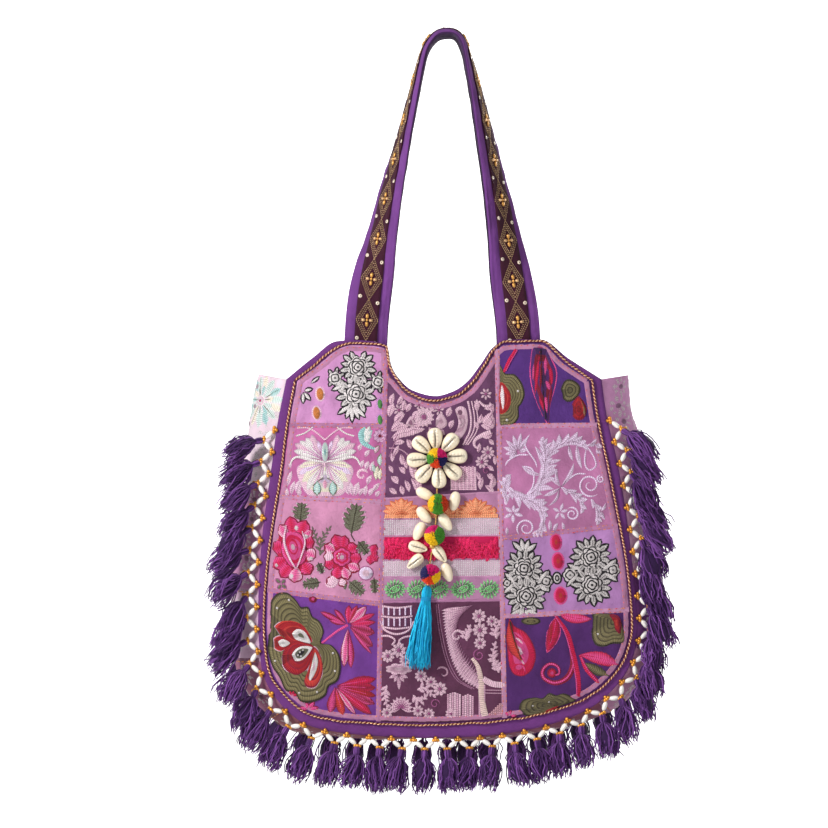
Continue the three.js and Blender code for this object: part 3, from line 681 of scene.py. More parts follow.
def rounded(shape, radius):
    """How far a sheet's face falls back at its rim, for a net of points."""
    rows, columns = (np.minimum(np.arange(n), np.arange(n)[::-1]) for n in shape)
    near = np.minimum(rows[:, None], columns[None])
    return radius * np.maximum(0, 1 - near / 2) ** 2


def on_back(x, z, lift=0.0):
    """A point on the back panel, with x counted the other way, as it is seen from behind."""
    x = -x
    wave = 1.3 * ripple(x, z, 70, 8) + 0.55 * ripple(x, z, 24, 9) + 0.2 * ripple(x, z, 9, 10)
    return np.stack([x, back_y(x, z) + wave + lift, back_z(z)], -1)


def build_panels():
    """The front and the back wall, each one sheet of cloth with a rounded rim."""
    net = panel_net(*PANEL_STEPS)
    x, z = net[..., 0], net[..., 1]
    back = rounded(x.shape, 0.6)
    front_faces = on_panel(x, z, -back), on_panel(x, z, back * 0.6 - CLOTH)
    back_faces = on_back(-x, z, -back), on_back(-x, z, back * 0.6 - CLOTH)
    for name, faces, flip in (("front", front_faces, True), ("back", back_faces, False)):
        shape = Shape()
        shape.slab(*faces, inner_mat=1, flip=flip)
        piece = shape.object("bag_" + name, [BORDER, LINING_AND_STRAP_SHADE], "purple_cotton", name + "_panel")


# share of the hem where each gusset cloth ends, and its colour
GUSSET_CLOTHS = [
    (0.10, srgb(222, 200, 212)), (0.19, srgb(176, 120, 160)), (0.27, srgb(206, 170, 196)),
    (0.345, srgb(150, 92, 120)), (0.50, srgb(140, 82, 92)), (0.655, srgb(132, 74, 96)),
    (0.74, srgb(178, 126, 158)), (0.82, srgb(120, 62, 132)), (0.90, srgb(196, 150, 182)),
    (1.01, srgb(200, 142, 186))]
HEM_SHARES = np.linspace(0, 1, 2001)
HEM_RUN = run(panel_edge(HEM_SHARES))


def on_gusset(share, depth, lift=0.0):
    """A point of the gusset by its share of the hem and of the depth."""
    edge, out = panel_edge(share), hem_out(share)
    swell = mix(BASE_SWELL, SIDE_SWELL, np.abs(out[..., 0]))
    along, across = share * 1150, depth * DEPTH
    fold = ripple(along, across, 60, 21) * 1.5 + ripple(along, across, 17, 22) * 0.4
    reach = swell * 4 * depth * (1 - depth) + fold * smooth(0, 0.12, depth) * smooth(1, 0.88, depth) + lift
    x, z = edge[..., 0], edge[..., 1]
    y = mix(front_y(x, z) + CLOTH + 0.3, back_y(x, z) - CLOTH - 0.3, depth)
    return np.stack([x + out[..., 0] * reach, y, mix(z, back_z(z), depth) + out[..., 1] * reach], -1)


def along_gusset(across, down, lift=0.0):
    """A point of the gusset by its distance from the front seam and from the left mouth corner."""
    return on_gusset(np.interp(down, HEM_RUN, HEM_SHARES), np.asarray(across) / DEPTH, np.asarray(lift))


def build_gusset():
    """The soft band of printed cloths round the sides and the foot."""
    share, depth = np.meshgrid(*(np.linspace(0, 1, n) for n in GUSSET_STEPS), indexing="ij")
    ends, colours = zip(*GUSSET_CLOTHS)
    tones = np.array(colours)[np.searchsorted(ends, share)]
    face = on_gusset(share, depth)
    shape = Shape()
    shape.slab(face, on_gusset(share, depth, -CLOTH), tones, inner_mat=1, flip=True)
    piece = shape.object("bag_gusset", [CLOTH_PRINT, LINING_AND_STRAP_SHADE], "gusset_patchwork", "gusset")


# Patchwork

def patch_nets():
    """A net of points over each patch, from its own four edges."""
    nets = {}
    tops = [HEM[0, 0], SEAMS["left"][0], SEAMS["right"][0], HEM[-1, 0]]
    feet = [hem_point(HEM_LEFT)[0], SEAMS["left"][1], SEAMS["right"][1], hem_point(HEM_RIGHT)[0]]
    for k, (rows, left, right) in enumerate(COLUMNS):
        x = np.linspace(tops[k], tops[k + 1], 2000)
        upper = np.stack([x, MOUTH_EDGE(x)], 1)
        for name, a, b, *_ in rows:
            if a is None:
                lower = hem_where(0, np.linspace(feet[k], feet[k + 1], 400), HEM_LEFT, HEM_RIGHT)
            else:
                lower = np.array([(left(a), a), (right(b), b)], float)
            tall = max(upper[0, 1] - lower[0, 1], upper[-1, 1] - lower[-1, 1])
            wide = max(np.ptp(upper[:, 0]), np.ptp(lower[:, 0]))
            down = np.linspace(0, 1, int(tall / PATCH_STEP) + 3)
            columns = int(wide / PATCH_STEP) + 3
            zl, zr = mix(upper[0, 1], lower[0, 1], down), mix(upper[-1, 1], lower[-1, 1], down)
            nets[name] = coons(resample(upper, columns), resample(lower, columns),
                               np.stack([left(zl), zl], 1), np.stack([right(zr), zr], 1))
            upper = lower
    return nets


NETS = patch_nets()


def build_grounds():
    """The cloth of each patch and the ground of each lace, laid on the front wall."""
    for name, _, _, slot, colour in PATCHES:
        x, z = NETS[name][..., 0], NETS[name][..., 1]
        worn = 1 + 0.12 * ripple(x, z, 40, 31)[..., None]
        face = on_patch(x, z)
        shape = Shape()
        shape.slab(face, on_panel(x, z, 0.15), srgb(*colour) * worn, flip=True)
        piece_name = name.replace("patch_", "cloth_").replace("lace_", "ground_")
        piece = shape.object(piece_name, [CLOTH_PRINT], slot, name)


# Embroidery

def ring_shares(count, margin, plain, inner=0.0):
    """Shares from the middle to the rim for bands of stitches, two rings to a band, and the rim itself."""
    if count > 12:
        shares = (np.arange(count) + 0.5) / count
    elif count > 1:
        shares = np.ravel([((k + margin) / count, (k + 1 - margin) / count) for k in range(count)])
    else:
        shares = np.array(plain)
    return np.concatenate([shares[(shares > inner) & (shares < 0.999)], [1.0]])


class Stitcher:
    """Embroidery over a surface: place(u, v, lift) gives the points."""

    def __init__(self, place, patch=None):
        self.place, self.patch, self.shape = place, patch, Shape()
        # width of an outline, points across a stroke and the usual step along it
        self.rim, self.columns, self.pitch = 1.0, 5, 2.2

    def net(self, net, height, colour, along, mat=0):
        uv = np.stack([along, np.zeros_like(along)], -1)
        self.shape.grid(self.place(net[..., 0], net[..., 1], height), colour, uv, mat)

    def stroke(self, points, width, colour, height=0.6, sink=0.25, mat=0, across=None, taper=0.0,
               step=None):
        """A raised line of stitches. Its width may change along it."""
        across, step = across or self.columns, step or 0.7 * self.pitch
        points = even(points, step)
        n = len(points)
        d = unit(np.gradient(points, axis=0))
        side = np.stack([-d[:, 1], d[:, 0]], 1)
        w = np.atleast_1d(np.asarray(width, float))
        w = np.interp(np.linspace(0, 1, n), np.linspace(0, 1, w.size), w)
        if taper:
            w = w * np.minimum(1, np.minimum(np.arange(n), np.arange(n)[::-1]) / (taper * n) + 0.12)
        t = np.linspace(-1, 1, across)
        net = points[:, None] + side[:, None] * (t[None, :, None] * w[:, None, None] / 2)
        full = np.minimum(1, w / max(w.max(), 1e-6))
        high = height * (1 - t ** 2)[None] * full[:, None] - sink * (t ** 2)[None]
        along = np.broadcast_to((np.arange(n) * step)[:, None], (n, across))
        self.net(net, high, colour, along, mat)

    def blade(self, base, tip, width, tone, edge=None, rim=None, vein=None, bend=0.0, full=0.5, height=0.9,
              lift=0.0):
        """A leaf or petal, widest at the share full, with an outline under it if a rim colour is given."""
        base, tip = np.array(base, float), np.array(tip, float)
        d = unit(tip - base)
        if rim is not None:
            self.blade(base - d * 0.6, tip + d * self.rim, width + 2 * self.rim, rim, bend=bend, full=full,
                       height=height * 0.5, lift=lift + 0.2)
            lift = lift + 0.4
        length = np.linalg.norm(tip - base)
        n = int(max(5, length / self.pitch))
        t = np.linspace(0, 1, n)
        side = np.array([-d[1], d[0]])
        middle = base + (tip - base) * t[:, None] + side * (bend * 4 * t * (1 - t))[:, None]
        swell = np.sin(math.pi * t ** (math.log(0.5) / math.log(full))) ** 0.75
        a = np.linspace(-1, 1, self.columns)
        net = middle[:, None] + side * (a[None, :, None] * (width / 2 * swell + 0.05)[:, None, None])
        ridge = (1 - a ** 2)[None]
        high = lift + height * ridge * np.maximum(swell, 0.25)[:, None] - 0.25 * (a ** 2)[None]
        high = high + 0.12 * np.sin(t * length * 1.9)[:, None] * ridge
        share = (np.abs(a) ** 1.5)[None, :, None] * np.ones((n, 1, 1))
        colour = np.asarray(tone) * (1 - share) + np.asarray(tone if edge is None else edge) * share
        along = np.broadcast_to((t * length)[:, None], share.shape[:2]) + np.abs(a)[None] * 1.2
        self.net(net, high, colour, along)
        if vein is not None:
            keep = slice(0, max(3, int(n * 0.9)))
            self.stroke(middle[keep], 0.9, vein, height=height + lift + 0.25, sink=-height * 0.6 - lift,
                        across=3, taper=0.2)

    def cap(self, middle, rings, tones, rho, heights, along, flip=False):
        """Rings of stitches closed in on a middle point. Tones run from the middle to the rim."""
        n, around = len(tones), rings.shape[1]
        flat = np.concatenate([[middle], rings.reshape(-1, 2)])
        high = np.concatenate([heights[:1], np.repeat(heights[1:], around)])
        shade = tones[np.minimum((rho * n * 0.9999).astype(int), n - 1)]
        colour = np.concatenate([tones[:1], np.repeat(shade, around, axis=0)])
        k = np.arange(around)
        after = (k + 1) % around
        tris = np.stack([np.zeros(around, int), 1 + after, 1 + k], -1)
        i = np.arange(len(rho) - 1)[:, None] * around + 1
        quads = np.stack([i + k, i + after, i + around + after, i + around + k], -1).reshape(-1, 4)
        if flip:
            tris, quads = tris[:, ::-1], quads[:, ::-1]
        along = np.concatenate([[0], np.tile(along, len(rho))])
        uv = np.stack([along, np.zeros_like(along)], -1)
        self.shape.add(self.place(flat[:, 0], flat[:, 1], high), quads, tris, colour, uv)

    def dome(self, centre, radii, tones, tilt=0.0, height=1.0, lift=0.0, rim=None, lobes=0, depth=0.0,
             turn=0.0):
        """An oval of stitches in rings, plain or scalloped."""
        radii = np.broadcast_to(np.asarray(radii, float), 2)
        if rim is not None:
            self.dome(centre, radii + self.rim, [rim], tilt=tilt, height=height * 0.5, lift=lift + 0.2,
                      lobes=lobes, depth=depth, turn=turn)
            lift = lift + 0.4
        tones = np.atleast_2d(tones)
        n = len(tones)
        rho = ring_shares(n, 0.1, (0.35, 0.7, 0.92))
        around = max(int(np.clip(radii.max() * 2.4, 10, 44)), lobes * 6)
        angle = 2 * math.pi * np.arange(around) / around
        reach = np.ones(around)
        if lobes:
            reach = 1 - depth + depth * np.abs(np.sin(lobes * (angle + turn) / 2)) ** 0.6
        u = rho[:, None] * (radii[0] * np.cos(angle) * reach)[None]
        v = rho[:, None] * (radii[1] * np.sin(angle) * reach)[None]
        c, s = heading_of(math.radians(tilt))
        rings = np.stack([centre[0] + u * c - v * s, centre[1] + u * s + v * c], -1)
        ridge = 0.22 * np.abs(np.sin(math.pi * n * rho)) * (n > 1)
        high = height * (1 - rho ** 2.4) + ridge - 0.25 * (rho > 0.99)
        self.cap(centre, rings, tones, rho, lift + np.append(height, high), angle * radii.mean())

    def shape_of(self, outline, heart, tones, height=1.2, lift=0.0, rim=None, inner=0.0):
        """Rings of stitches that follow a closed outline and close in on its heart."""
        outline, heart = np.array(outline, float), np.array(heart, float)
        ring = np.concatenate([outline[-1:], outline, outline[:2]])
        share = np.linspace(1 / (len(ring) - 1), 1 - 2 / (len(ring) - 1), 5 * len(outline) + 1)[:-1]
        edge = catmull(ring, share)
        if rim is not None:
            away = edge - heart
            reach = np.linalg.norm(away, axis=1, keepdims=True)
            self.rings(heart + away * (1 + self.rim / reach), heart, [rim], height * 0.5, lift + 0.2, inner)
            lift = lift + 0.4
        self.rings(edge, heart, tones, height, lift, inner)

    def rings(self, edge, heart, tones, height, lift, inner):
        """Rings of stitches from a heart out to an edge, one ridge to a tone."""
        tones = np.atleast_2d(tones)
        n = len(tones)
        rho = ring_shares(n, 0.08, (0.4, 0.75, 0.93), inner)
        rings = heart + (edge - heart)[None] * rho[:, None, None]
        ridge = 0.3 * np.abs(np.sin(math.pi * n * rho)) * (n > 1)
        high = height * (1 - rho ** 3) + ridge - 0.2 * (rho > 0.99)
        flip = np.cross(edge[1] - edge[0], heart - edge[0]) <= 0
        self.cap(heart, rings, tones, rho, lift + np.append(height, high), run(edge), flip)

    def fan(self, base, tips, width, tone, rim=None, vein=None, start=0.15, edge=None, height=0.8,
            full=0.5):
        """Leaves spread from one base to several tips."""
        base = np.array(base, float)
        for tip in tips:
            tip = np.array(tip, float)
            self.blade(base + (tip - base) * start, tip, width, tone, edge, rim=rim, vein=vein, full=full,
                       height=height)

    def daisy(self, centre, radius, petals, tone, middle, rim=None, turn=0.0, width=0.42, height=0.7):
        """Petals in a ring about a small dome."""
        for k in range(petals):
            d = heading_of(turn + 2 * math.pi * k / petals) * radius
            self.blade(np.array(centre) + d * 0.2, np.array(centre) + d, radius * width, tone, tone * 0.72,
                       rim=rim, full=0.6, height=height)
        self.dome(centre, radius * 0.26, [middle], height=1.2)

    def rose(self, centre, radius, tone, rim, lobes=8, turn=0.0):
        """Nested rings of scalloped petals, each with its outline."""
        shares = (1, 0.76, 0.53, 0.3) if radius > 8 else (1, 0.55)
        for step, share in enumerate(shares):
            self.dome(centre, radius * share, [tone * 0.9, tone], height=0.3, lift=0.5 * step, rim=rim,
                      lobes=max(4, lobes - 2 * step), depth=0.24, turn=turn + 0.7 * step)
        self.dome(centre, max(0.9, radius * 0.1), [rim], height=0.3, lift=0.5 * len(shares) + 0.4)

    def curl(self, centre, radius, turns, width, tone, start=0.0, sense=1, height=0.7):
        """A line of stitches that winds inwards."""
        t = np.linspace(0, 1, 60)
        a = math.radians(start) + sense * 2 * math.pi * turns * t
        r = radius * (1 - 0.86 * t)
        self.stroke(np.stack([centre[0] + r * np.cos(a), centre[1] + r * np.sin(a)], 1),
                    [width, width, width * 0.7], tone, height=height, taper=0.12)

    def spray(self, points, leaves, long, wide, tone, edge=None, lean=42, stem=1.4, height=0.8):
        """A curved stem with leaves on both sides that shorten towards its tip."""
        path = line(points, 1.0)
        self.stroke(path, [stem * 1.6, stem, stem * 0.6], tone, height=height, taper=0.06)
        d = unit(np.gradient(path, axis=0))
        for k in range(leaves):
            t = (k + 0.6) / leaves
            i = int(t * (len(path) - 1))
            sense = 1 if k % 2 else -1
            c, s = heading_of(math.radians(lean) * sense)
            reach = long * (1 - 0.55 * t) * (0.85 + 0.3 * ((k * 7) % 5) / 4)
            tip = path[i] + np.array([[c, -s], [s, c]]) @ d[i] * reach
            self.blade(path[i], tip, wide * (1 - 0.4 * t), tone, edge, bend=-0.12 * reach * sense,
                       full=0.55, height=height)
        self.blade(path[-2], path[-1] + d[-1] * long * 0.5, wide * 0.7, tone, edge, height=height)


# Colours of the embroidery threads
CREAM, INK, SILVER = srgb(240, 232, 232), srgb(30, 24, 30), srgb(220, 212, 212)
ORCHID, ROSE = srgb(206, 146, 206), srgb(226, 78, 146)
BLUSH, CRIMSON = srgb(238, 196, 216), srgb(205, 22, 74)
WINE, RUBY, CORAL = srgb(138, 20, 52), srgb(172, 28, 40), srgb(206, 60, 54)
OLIVE, MOSS, SAGE = srgb(132, 122, 84), srgb(58, 50, 38), srgb(118, 118, 98)
MINT, TEAL, AMBER, FERN = srgb(206, 226, 220), srgb(150, 200, 200), srgb(232, 142, 74), srgb(92, 156, 84)
PALE, LILAC, MAUVE = srgb(230, 190, 208), srgb(238, 214, 242), srgb(170, 92, 142)
BROCADE, DUSK = srgb(206, 158, 182), srgb(172, 118, 150)
STRAW, LOTUS_SHADE = srgb(244, 234, 214), srgb(204, 150, 190)
ACANTHUS_SHADE, ROSE_SPRAY = MAUVE * 0.42 + LILAC * 0.34, MAUVE * 0.6 + SAGE * 0.4
# Upright middle line of the lotus
LOTUS_X = -124


def ring_of_leaves(st, centre, radius, count, tone, rim, low, high):
    """Outlined leaves round a rose, where their tips stay between two corners."""
    centre = np.array(centre)
    for k in range(count):
        d = heading_of(2 * math.pi * (k + 0.5) / count) * radius
        tip = centre + d * (1.6 if k % 2 else 1.48)
        if np.all(tip > low) and np.all(tip < high):
            st.blade(centre + d * 0.75, tip, radius * 0.38, tone, tone * 0.55, rim=rim, vein=tone * 0.3,
                     height=0.25, lift=0.3 * (k % 2))


def stitch_white_rose(st):
    """Pale roses with dark outlines, and small buds."""
    st.rim = 1.5
    # centre x, z and radius of the roses
    roses = ((-91, -334, 11.4), (-93, -361, 12.6), (-114, -345, 6.6), (-71, -349, 6.6))
    for x, z, r in roses:
        ring_of_leaves(st, (x, z), r, 14 if r > 8 else 7, CREAM, INK, (-123, -389), (-65, -317))
    st.fan((-97, -371), [(-111, -381), (-103, -385), (-97, -389), (-90, -386), (-84, -384)], 4.4, CREAM,
           rim=INK)
    st.fan((-104, -352), [(-117, -357), (-114, -351), (-108, -357)], 4, CREAM, rim=INK)
    for x, z, r in roses:
        st.rose((x, z), r, CREAM, INK, lobes=8 if r > 8 else 6, turn=x)
    st.fan((-146, -358), [(-137, -356), (-139, -367), (-146, -370)], 3.2, CREAM, rim=INK)
    st.blade((-138, -350), (-130, -344), 2.2, CREAM, rim=INK)
    # centre x, z, half width, half height, tone and outline of the buds
    buds = [(-129, -361, 3.6, 6.3, AMBER, BLUSH), (-132.5, -380, 3.6, 6.3, AMBER, BLUSH),
            (-69, -371, 2.6, 5, FERN, ORCHID), (-69, -387, 2.6, 5, FERN, ORCHID)]
    for x, z, wide, tall, tone, rim in buds:
        st.dome((x, z), (wide, tall), [tone, tone * 0.85], tilt=6, rim=rim)


def beside(middle, side, points):
    """Points counted from an upright middle line to one side of it."""
    return [(middle + side * x, z) for x, z in points]


def lotus_flower(st):
    """The two halves of the flower about its middle line."""
    st.rim = 0.8
    # half the outline of the flower's lower body, counted from its middle
    half = [(0, -430), (14, -429), (25, -432), (28, -438), (26, -446), (22, -455), (16, -462), (7, -463)]
    body = beside(LOTUS_X, -1, half) + beside(LOTUS_X, 1, half[:0:-1])
    st.shape_of(body, (LOTUS_X, -446), [LILAC, CREAM, STRAW, BLUSH], height=0.3, rim=LOTUS_SHADE)
    # base and tip to the side and in height, width, bend and tone of the petals of one half
    petals = [(3, -427, 31, -418, 8, 2, CREAM), (4, -426, 30, -411, 8, 1, BLUSH),
              (4, -425, 25, -408, 8, 0, CREAM), (3, -424, 19, -405, 9, -1, CREAM),
              (3, -423, 13, -402, 8, -3, BLUSH), (2, -420, 7, -408, 4, -1, LILAC),
              (2, -431, 26, -434, 7, 1, STRAW), (2, -431, 26, -441, 8, 1, LILAC),
              (2, -432, 23, -449, 9, 1, STRAW), (2, -432, 18, -457, 9, 1, CREAM),
              (2, -432, 11, -462, 8, 1, BLUSH), (1, -432, 4, -447, 5, 0, CREAM)]
    for side in (-1, 1):
        for bx, bz, tx, tz, wide, bend, tone in petals:
            base, tip = beside(LOTUS_X, side, [(bx, bz), (tx, tz)])
            st.blade(base, tip, wide, tone, tone * 0.82, rim=LOTUS_SHADE, vein=LOTUS_SHADE,
                     bend=side * bend, full=0.62, height=0.4, lift=0.3)
        base, tip = beside(LOTUS_X, side, [(8, -447), (8, -462)])
        st.blade(base, tip, 7, MINT, TEAL, rim=SAGE, full=0.6, height=0.5, lift=0.9)
        st.stroke(line(beside(LOTUS_X, side, [(2, -445), (7, -448), (12, -453)])), 1.1, SAGE, height=1.8,
                  sink=-0.8)
        st.stroke(line(beside(LOTUS_X, side, [(0, -429), (13, -427), (26, -424), (32, -426), (35, -432)])),
                  [1.6, 2.4, 3.4, 2.4, 1.2], CREAM, height=2.0, sink=-0.5)
        st.stroke(line(beside(LOTUS_X, side, [(0, -407), (8, -400), (17, -395), (28, -395)])), 1.8, BLUSH,
                  height=0.9)
        st.stroke(line(beside(LOTUS_X, side, [(12, -394), (20, -400), (29, -403)])), 1.7, CREAM, height=0.9)
    st.dome((LOTUS_X, -419), (3.2, 9.5), [TEAL, MINT, MINT], height=0.8, lift=0.9, rim=LOTUS_SHADE)
    st.blade((LOTUS_X, -447), (LOTUS_X, -456), 5, ROSE * 0.4 + BLUSH * 0.5, BLUSH, full=0.4, height=0.5,
             lift=1.2)


def lotus_leaves(st):
    """The leaves, the teal curl and the daisy about the flower."""
    # base x, z, tip x, z and width of the pale leaves about the flower
    leaves = [(-153, -460, -147, -446, 6), (-158, -462, -154, -448, 4.5), (-162, -454, -157, -438, 4.5),
              (-161, -464, -162, -455, 4), (-150, -464, -148, -456, 4), (-159, -436, -158, -428, 3.5),
              (-100, -462, -103, -448, 5), (-96, -463, -98, -449, 5), (-94, -463, -90, -449, 6),
              (-90, -463, -85, -455, 4), (-84, -463, -82, -452, 4.5), (-80, -463, -75, -455, 4.5),
              (-76, -459, -69, -450, 4.5), (-73, -464, -69, -458, 4), (-83, -437, -80, -428, 4.5),
              (-88, -435, -85, -427, 4), (-78, -439, -75, -428, 4.5), (-82, -452, -77, -442, 4.5),
              (-90, -418, -87, -411, 4), (-84, -424, -79, -417, 4)]
    for bx, bz, tx, tz, wide in leaves:
        st.blade((bx, bz), (tx, tz), wide * 1.4, CREAM * 0.4 + BLUSH * 0.6, ORCHID * 0.4 + BLUSH * 0.5,
                 vein=LOTUS_SHADE, bend=0.8, height=0.7)
    st.curl((-87, -442), 6, 1.1, 3.4, BLUSH, start=20)
    st.stroke(line([(-84, -394), (-88, -401), (-86, -409), (-79, -414), (-73, -416)]), [4, 6.5, 6.5, 5, 2],
              TEAL, height=1.0)
    st.fan((-86, -404), [(-79, -393), (-77, -398), (-78, -404), (-80, -409)], 5, CREAM, rim=TEAL, edge=MINT)
    st.daisy((-69, -403), 7, 9, ORCHID * 0.5 + BLUSH * 0.5, WINE, rim=MAUVE, turn=0.2, width=0.62)
    # base x, z, tip x, z, width and tone of the leaves along the right seam
    leaves = [(-69, -433, -68, -421, 5, MINT), (-73, -447, -71, -433, 5, STRAW),
              (-69, -447, -68, -435, 4.5, STRAW), (-73, -440, -77, -430, 4, MINT),
              (-74, -420, -70, -413, 4, BLUSH)]
    for bx, bz, tx, tz, wide, tone in leaves:
        st.blade((bx, bz), (tx, tz), wide, tone, tone * 0.85, rim=SAGE, bend=0.6, height=0.7)


def stitch_lotus(st):
    """A lotus with its leaves, a teal curl and a small daisy."""
    lotus_flower(st)
    lotus_leaves(st)


def embroidered_leaf(st, base, tip, width, tone, dark, lobes):
    """A broad leaf of rounded lobes with a beaded edge."""
    base, tip = np.array(base, float), np.array(tip, float)
    d = unit(tip - base)
    side = np.array([-d[1], d[0]])
    length = np.linalg.norm(tip - base)
    st.blade(base, tip, width * 0.6, tone, dark)
    for k in range(lobes):
        t = (k + 0.5) / lobes
        root = base + d * length * t * 0.8
        reach = width * 0.5 * math.sin(math.pi * (0.2 + 0.7 * t))
        for sense in (-1, 1):
            end = root + d * length * 0.24 + side * sense * reach
            st.blade(root, end, length / lobes * 0.85, tone, dark, full=0.6)
            st.dome(end - d * 0.8, 0.75, [CREAM], height=0.9, lift=0.5)
    st.stroke(np.linspace(base, tip, 20), 1.0, dark, height=1.7, sink=-0.9, taper=0.2)


def rose_petals(st, petals):
    """Outlined petals, each by its base x, z, tip x, z, width and tone."""
    for bx, bz, tx, tz, wide, tone in petals:
        st.blade((bx, bz), (tx, tz), wide, tone, ROSE if tone is CRIMSON else BLUSH, rim=WINE, full=0.62,
                 height=1.1, lift=0.3)


def large_rose(st):
    """The tall rose at the left."""
    # base x, z, tip x, z, width and tone of each petal
    petals = [(-155, -507, -159, -484, 13, CRIMSON), (-151, -505, -143, -488, 13, CRIMSON),
              (-160, -508, -169, -492, 11, ROSE), (-162, -512, -176, -516, 14, CRIMSON),
              (-160, -524, -176, -534, 13, CRIMSON), (-157, -530, -168, -544, 12, CRIMSON),
              (-152, -533, -155, -549, 14, ROSE), (-147, -528, -139, -541, 13, CRIMSON),
              (-146, -518, -134, -524, 13, ROSE), (-147, -510, -135, -509, 13, CRIMSON),
              (-149, -505, -137, -498, 9, ROSE)]
    st.dome((-155, -517), (17, 25), [CRIMSON, CRIMSON * 0.8], tilt=8, height=0.6, rim=WINE, lobes=9,
            depth=0.16)
    rose_petals(st, petals)
    st.dome((-155, -516), (12.5, 18.5), [CRIMSON, ROSE, ROSE, CRIMSON, ROSE], tilt=8, height=1.2, lift=1.0,
            rim=WINE, lobes=5, depth=0.1)
    st.dome((-156, -514), (5.5, 9), [BLUSH, ROSE, CRIMSON], tilt=14, height=0.8, lift=1.9, rim=CRIMSON)
    st.stroke(line([(-163, -492), (-165, -508), (-160, -524), (-153, -536)]), [1.2, 2.6, 1.2], BLUSH,
              height=4.0, sink=-2.9)
    st.stroke(line([(-147, -498), (-144, -510), (-148, -524), (-153, -536)]), [1, 2, 1], BLUSH, height=3.9,
              sink=-2.8)
    for x, z, r in ((-153, -495, 2.6), (-143, -503, 3), (-138, -525, 2.6), (-157, -543, 3.2),
                    (-172, -532, 2.6)):
        st.dome((x, z), r, [CREAM, BLUSH], height=0.7, lift=1.0)


def lesser_rose(st):
    """The round rose at the right."""
    # base x, z, tip x, z, width and tone of each petal
    petals = [(-109, -517, -114, -502, 11, CRIMSON), (-107, -517, -104, -503, 10, CRIMSON),
              (-103, -518, -92, -513, 11, CRIMSON), (-101, -524, -88, -526, 11, CRIMSON),
              (-103, -530, -90, -537, 10, ROSE), (-113, -519, -124, -512, 10, ROSE),
              (-114, -524, -125, -523, 11, BLUSH), (-114, -529, -124, -533, 10, CRIMSON),
              (-110, -532, -113, -546, 11, CRIMSON), (-106, -532, -101, -546, 10, ROSE),
              (-111, -544, -122, -551, 9, BLUSH), (-108, -545, -105, -553, 8, BLUSH)]
    st.dome((-107, -525), (14, 16), [CRIMSON, CRIMSON * 0.8], height=0.6, rim=WINE, lobes=8, depth=0.16)
    rose_petals(st, petals)
    st.dome((-107, -524), (9, 9), [BLUSH, ROSE, CRIMSON, ROSE], lift=1.1, rim=WINE, lobes=6, depth=0.15)
    for k in range(6):
        st.dome((-109 + 2.6 * math.cos(k), -523 + 2.6 * math.sin(k)), 0.9, [CREAM], height=0.7, lift=2.0)
    st.curl((-117, -547), 7.5, 1.1, 3.2, BLUSH, start=200, height=1.0)


def rose_leaves(st):
    """The leaves and sprays about the roses."""
    st.fan((-78, -521), [(-73, -512), (-72, -520), (-72, -528), (-79, -531)], 8, CRIMSON, rim=WINE,
           start=0.1, edge=ROSE)
    st.dome((-83, -540), (7, 6.5), [BLUSH, LILAC], height=1.1, rim=MAUVE)
    # base x, z, tip x, z, width, tone, shade and lobes of the broad leaves
    leaves = [(-149, -489, -147, -469, 18, SAGE, MOSS * 1.4, 4),
              (-98, -501, -92, -470, 23, SAGE, MOSS * 1.4, 5),
              (-91, -508, -81, -521, 13, SAGE * 0.85, MOSS, 3),
              (-128, -549, -147, -552, 13, SAGE, MOSS * 1.4, 4),
              (-100, -548, -85, -561, 15, SAGE, MOSS * 1.4, 4),
              (-75, -544, -74, -561, 9, SAGE, MOSS * 1.4, 3),
              (-131, -529, -126, -541, 8, SAGE * 0.8, MOSS, 3)]
    for bx, bz, tx, tz, wide, tone, dark, lobes in leaves:
        embroidered_leaf(st, (bx, bz), (tx, tz), wide, tone, dark, lobes)
    st.blade((-104, -557), (-104, -548), 5, SAGE, MOSS)
    st.spray([(-129, -523), (-128, -508), (-120, -496)], 11, 9, 4, SAGE * 0.8, edge=ROSE_SPRAY)
    st.spray([(-131, -510), (-134, -502), (-136, -496)], 6, 6, 3, SAGE * 0.8, edge=ROSE_SPRAY)
    st.stroke(line([(-98, -501), (-96, -505), (-94, -508)]), 1.4, MOSS, height=0.8)
    st.fan((-168, -551), [(-173, -546), (-164, -547), (-171, -556), (-163, -555)], 3.4, SAGE, rim=MAUVE)


def stitch_pink_rose(st):
    """Two pink roses with their leaves."""
    large_rose(st)
    lesser_rose(st)
    rose_leaves(st)


def banded(tone, dark, count):
    """Bands of three rows of stitches in one tone, each with a dark row round it."""
    return [shade for _ in range(count) for shade in (tone * 1.12, tone, tone * 0.86, dark)]


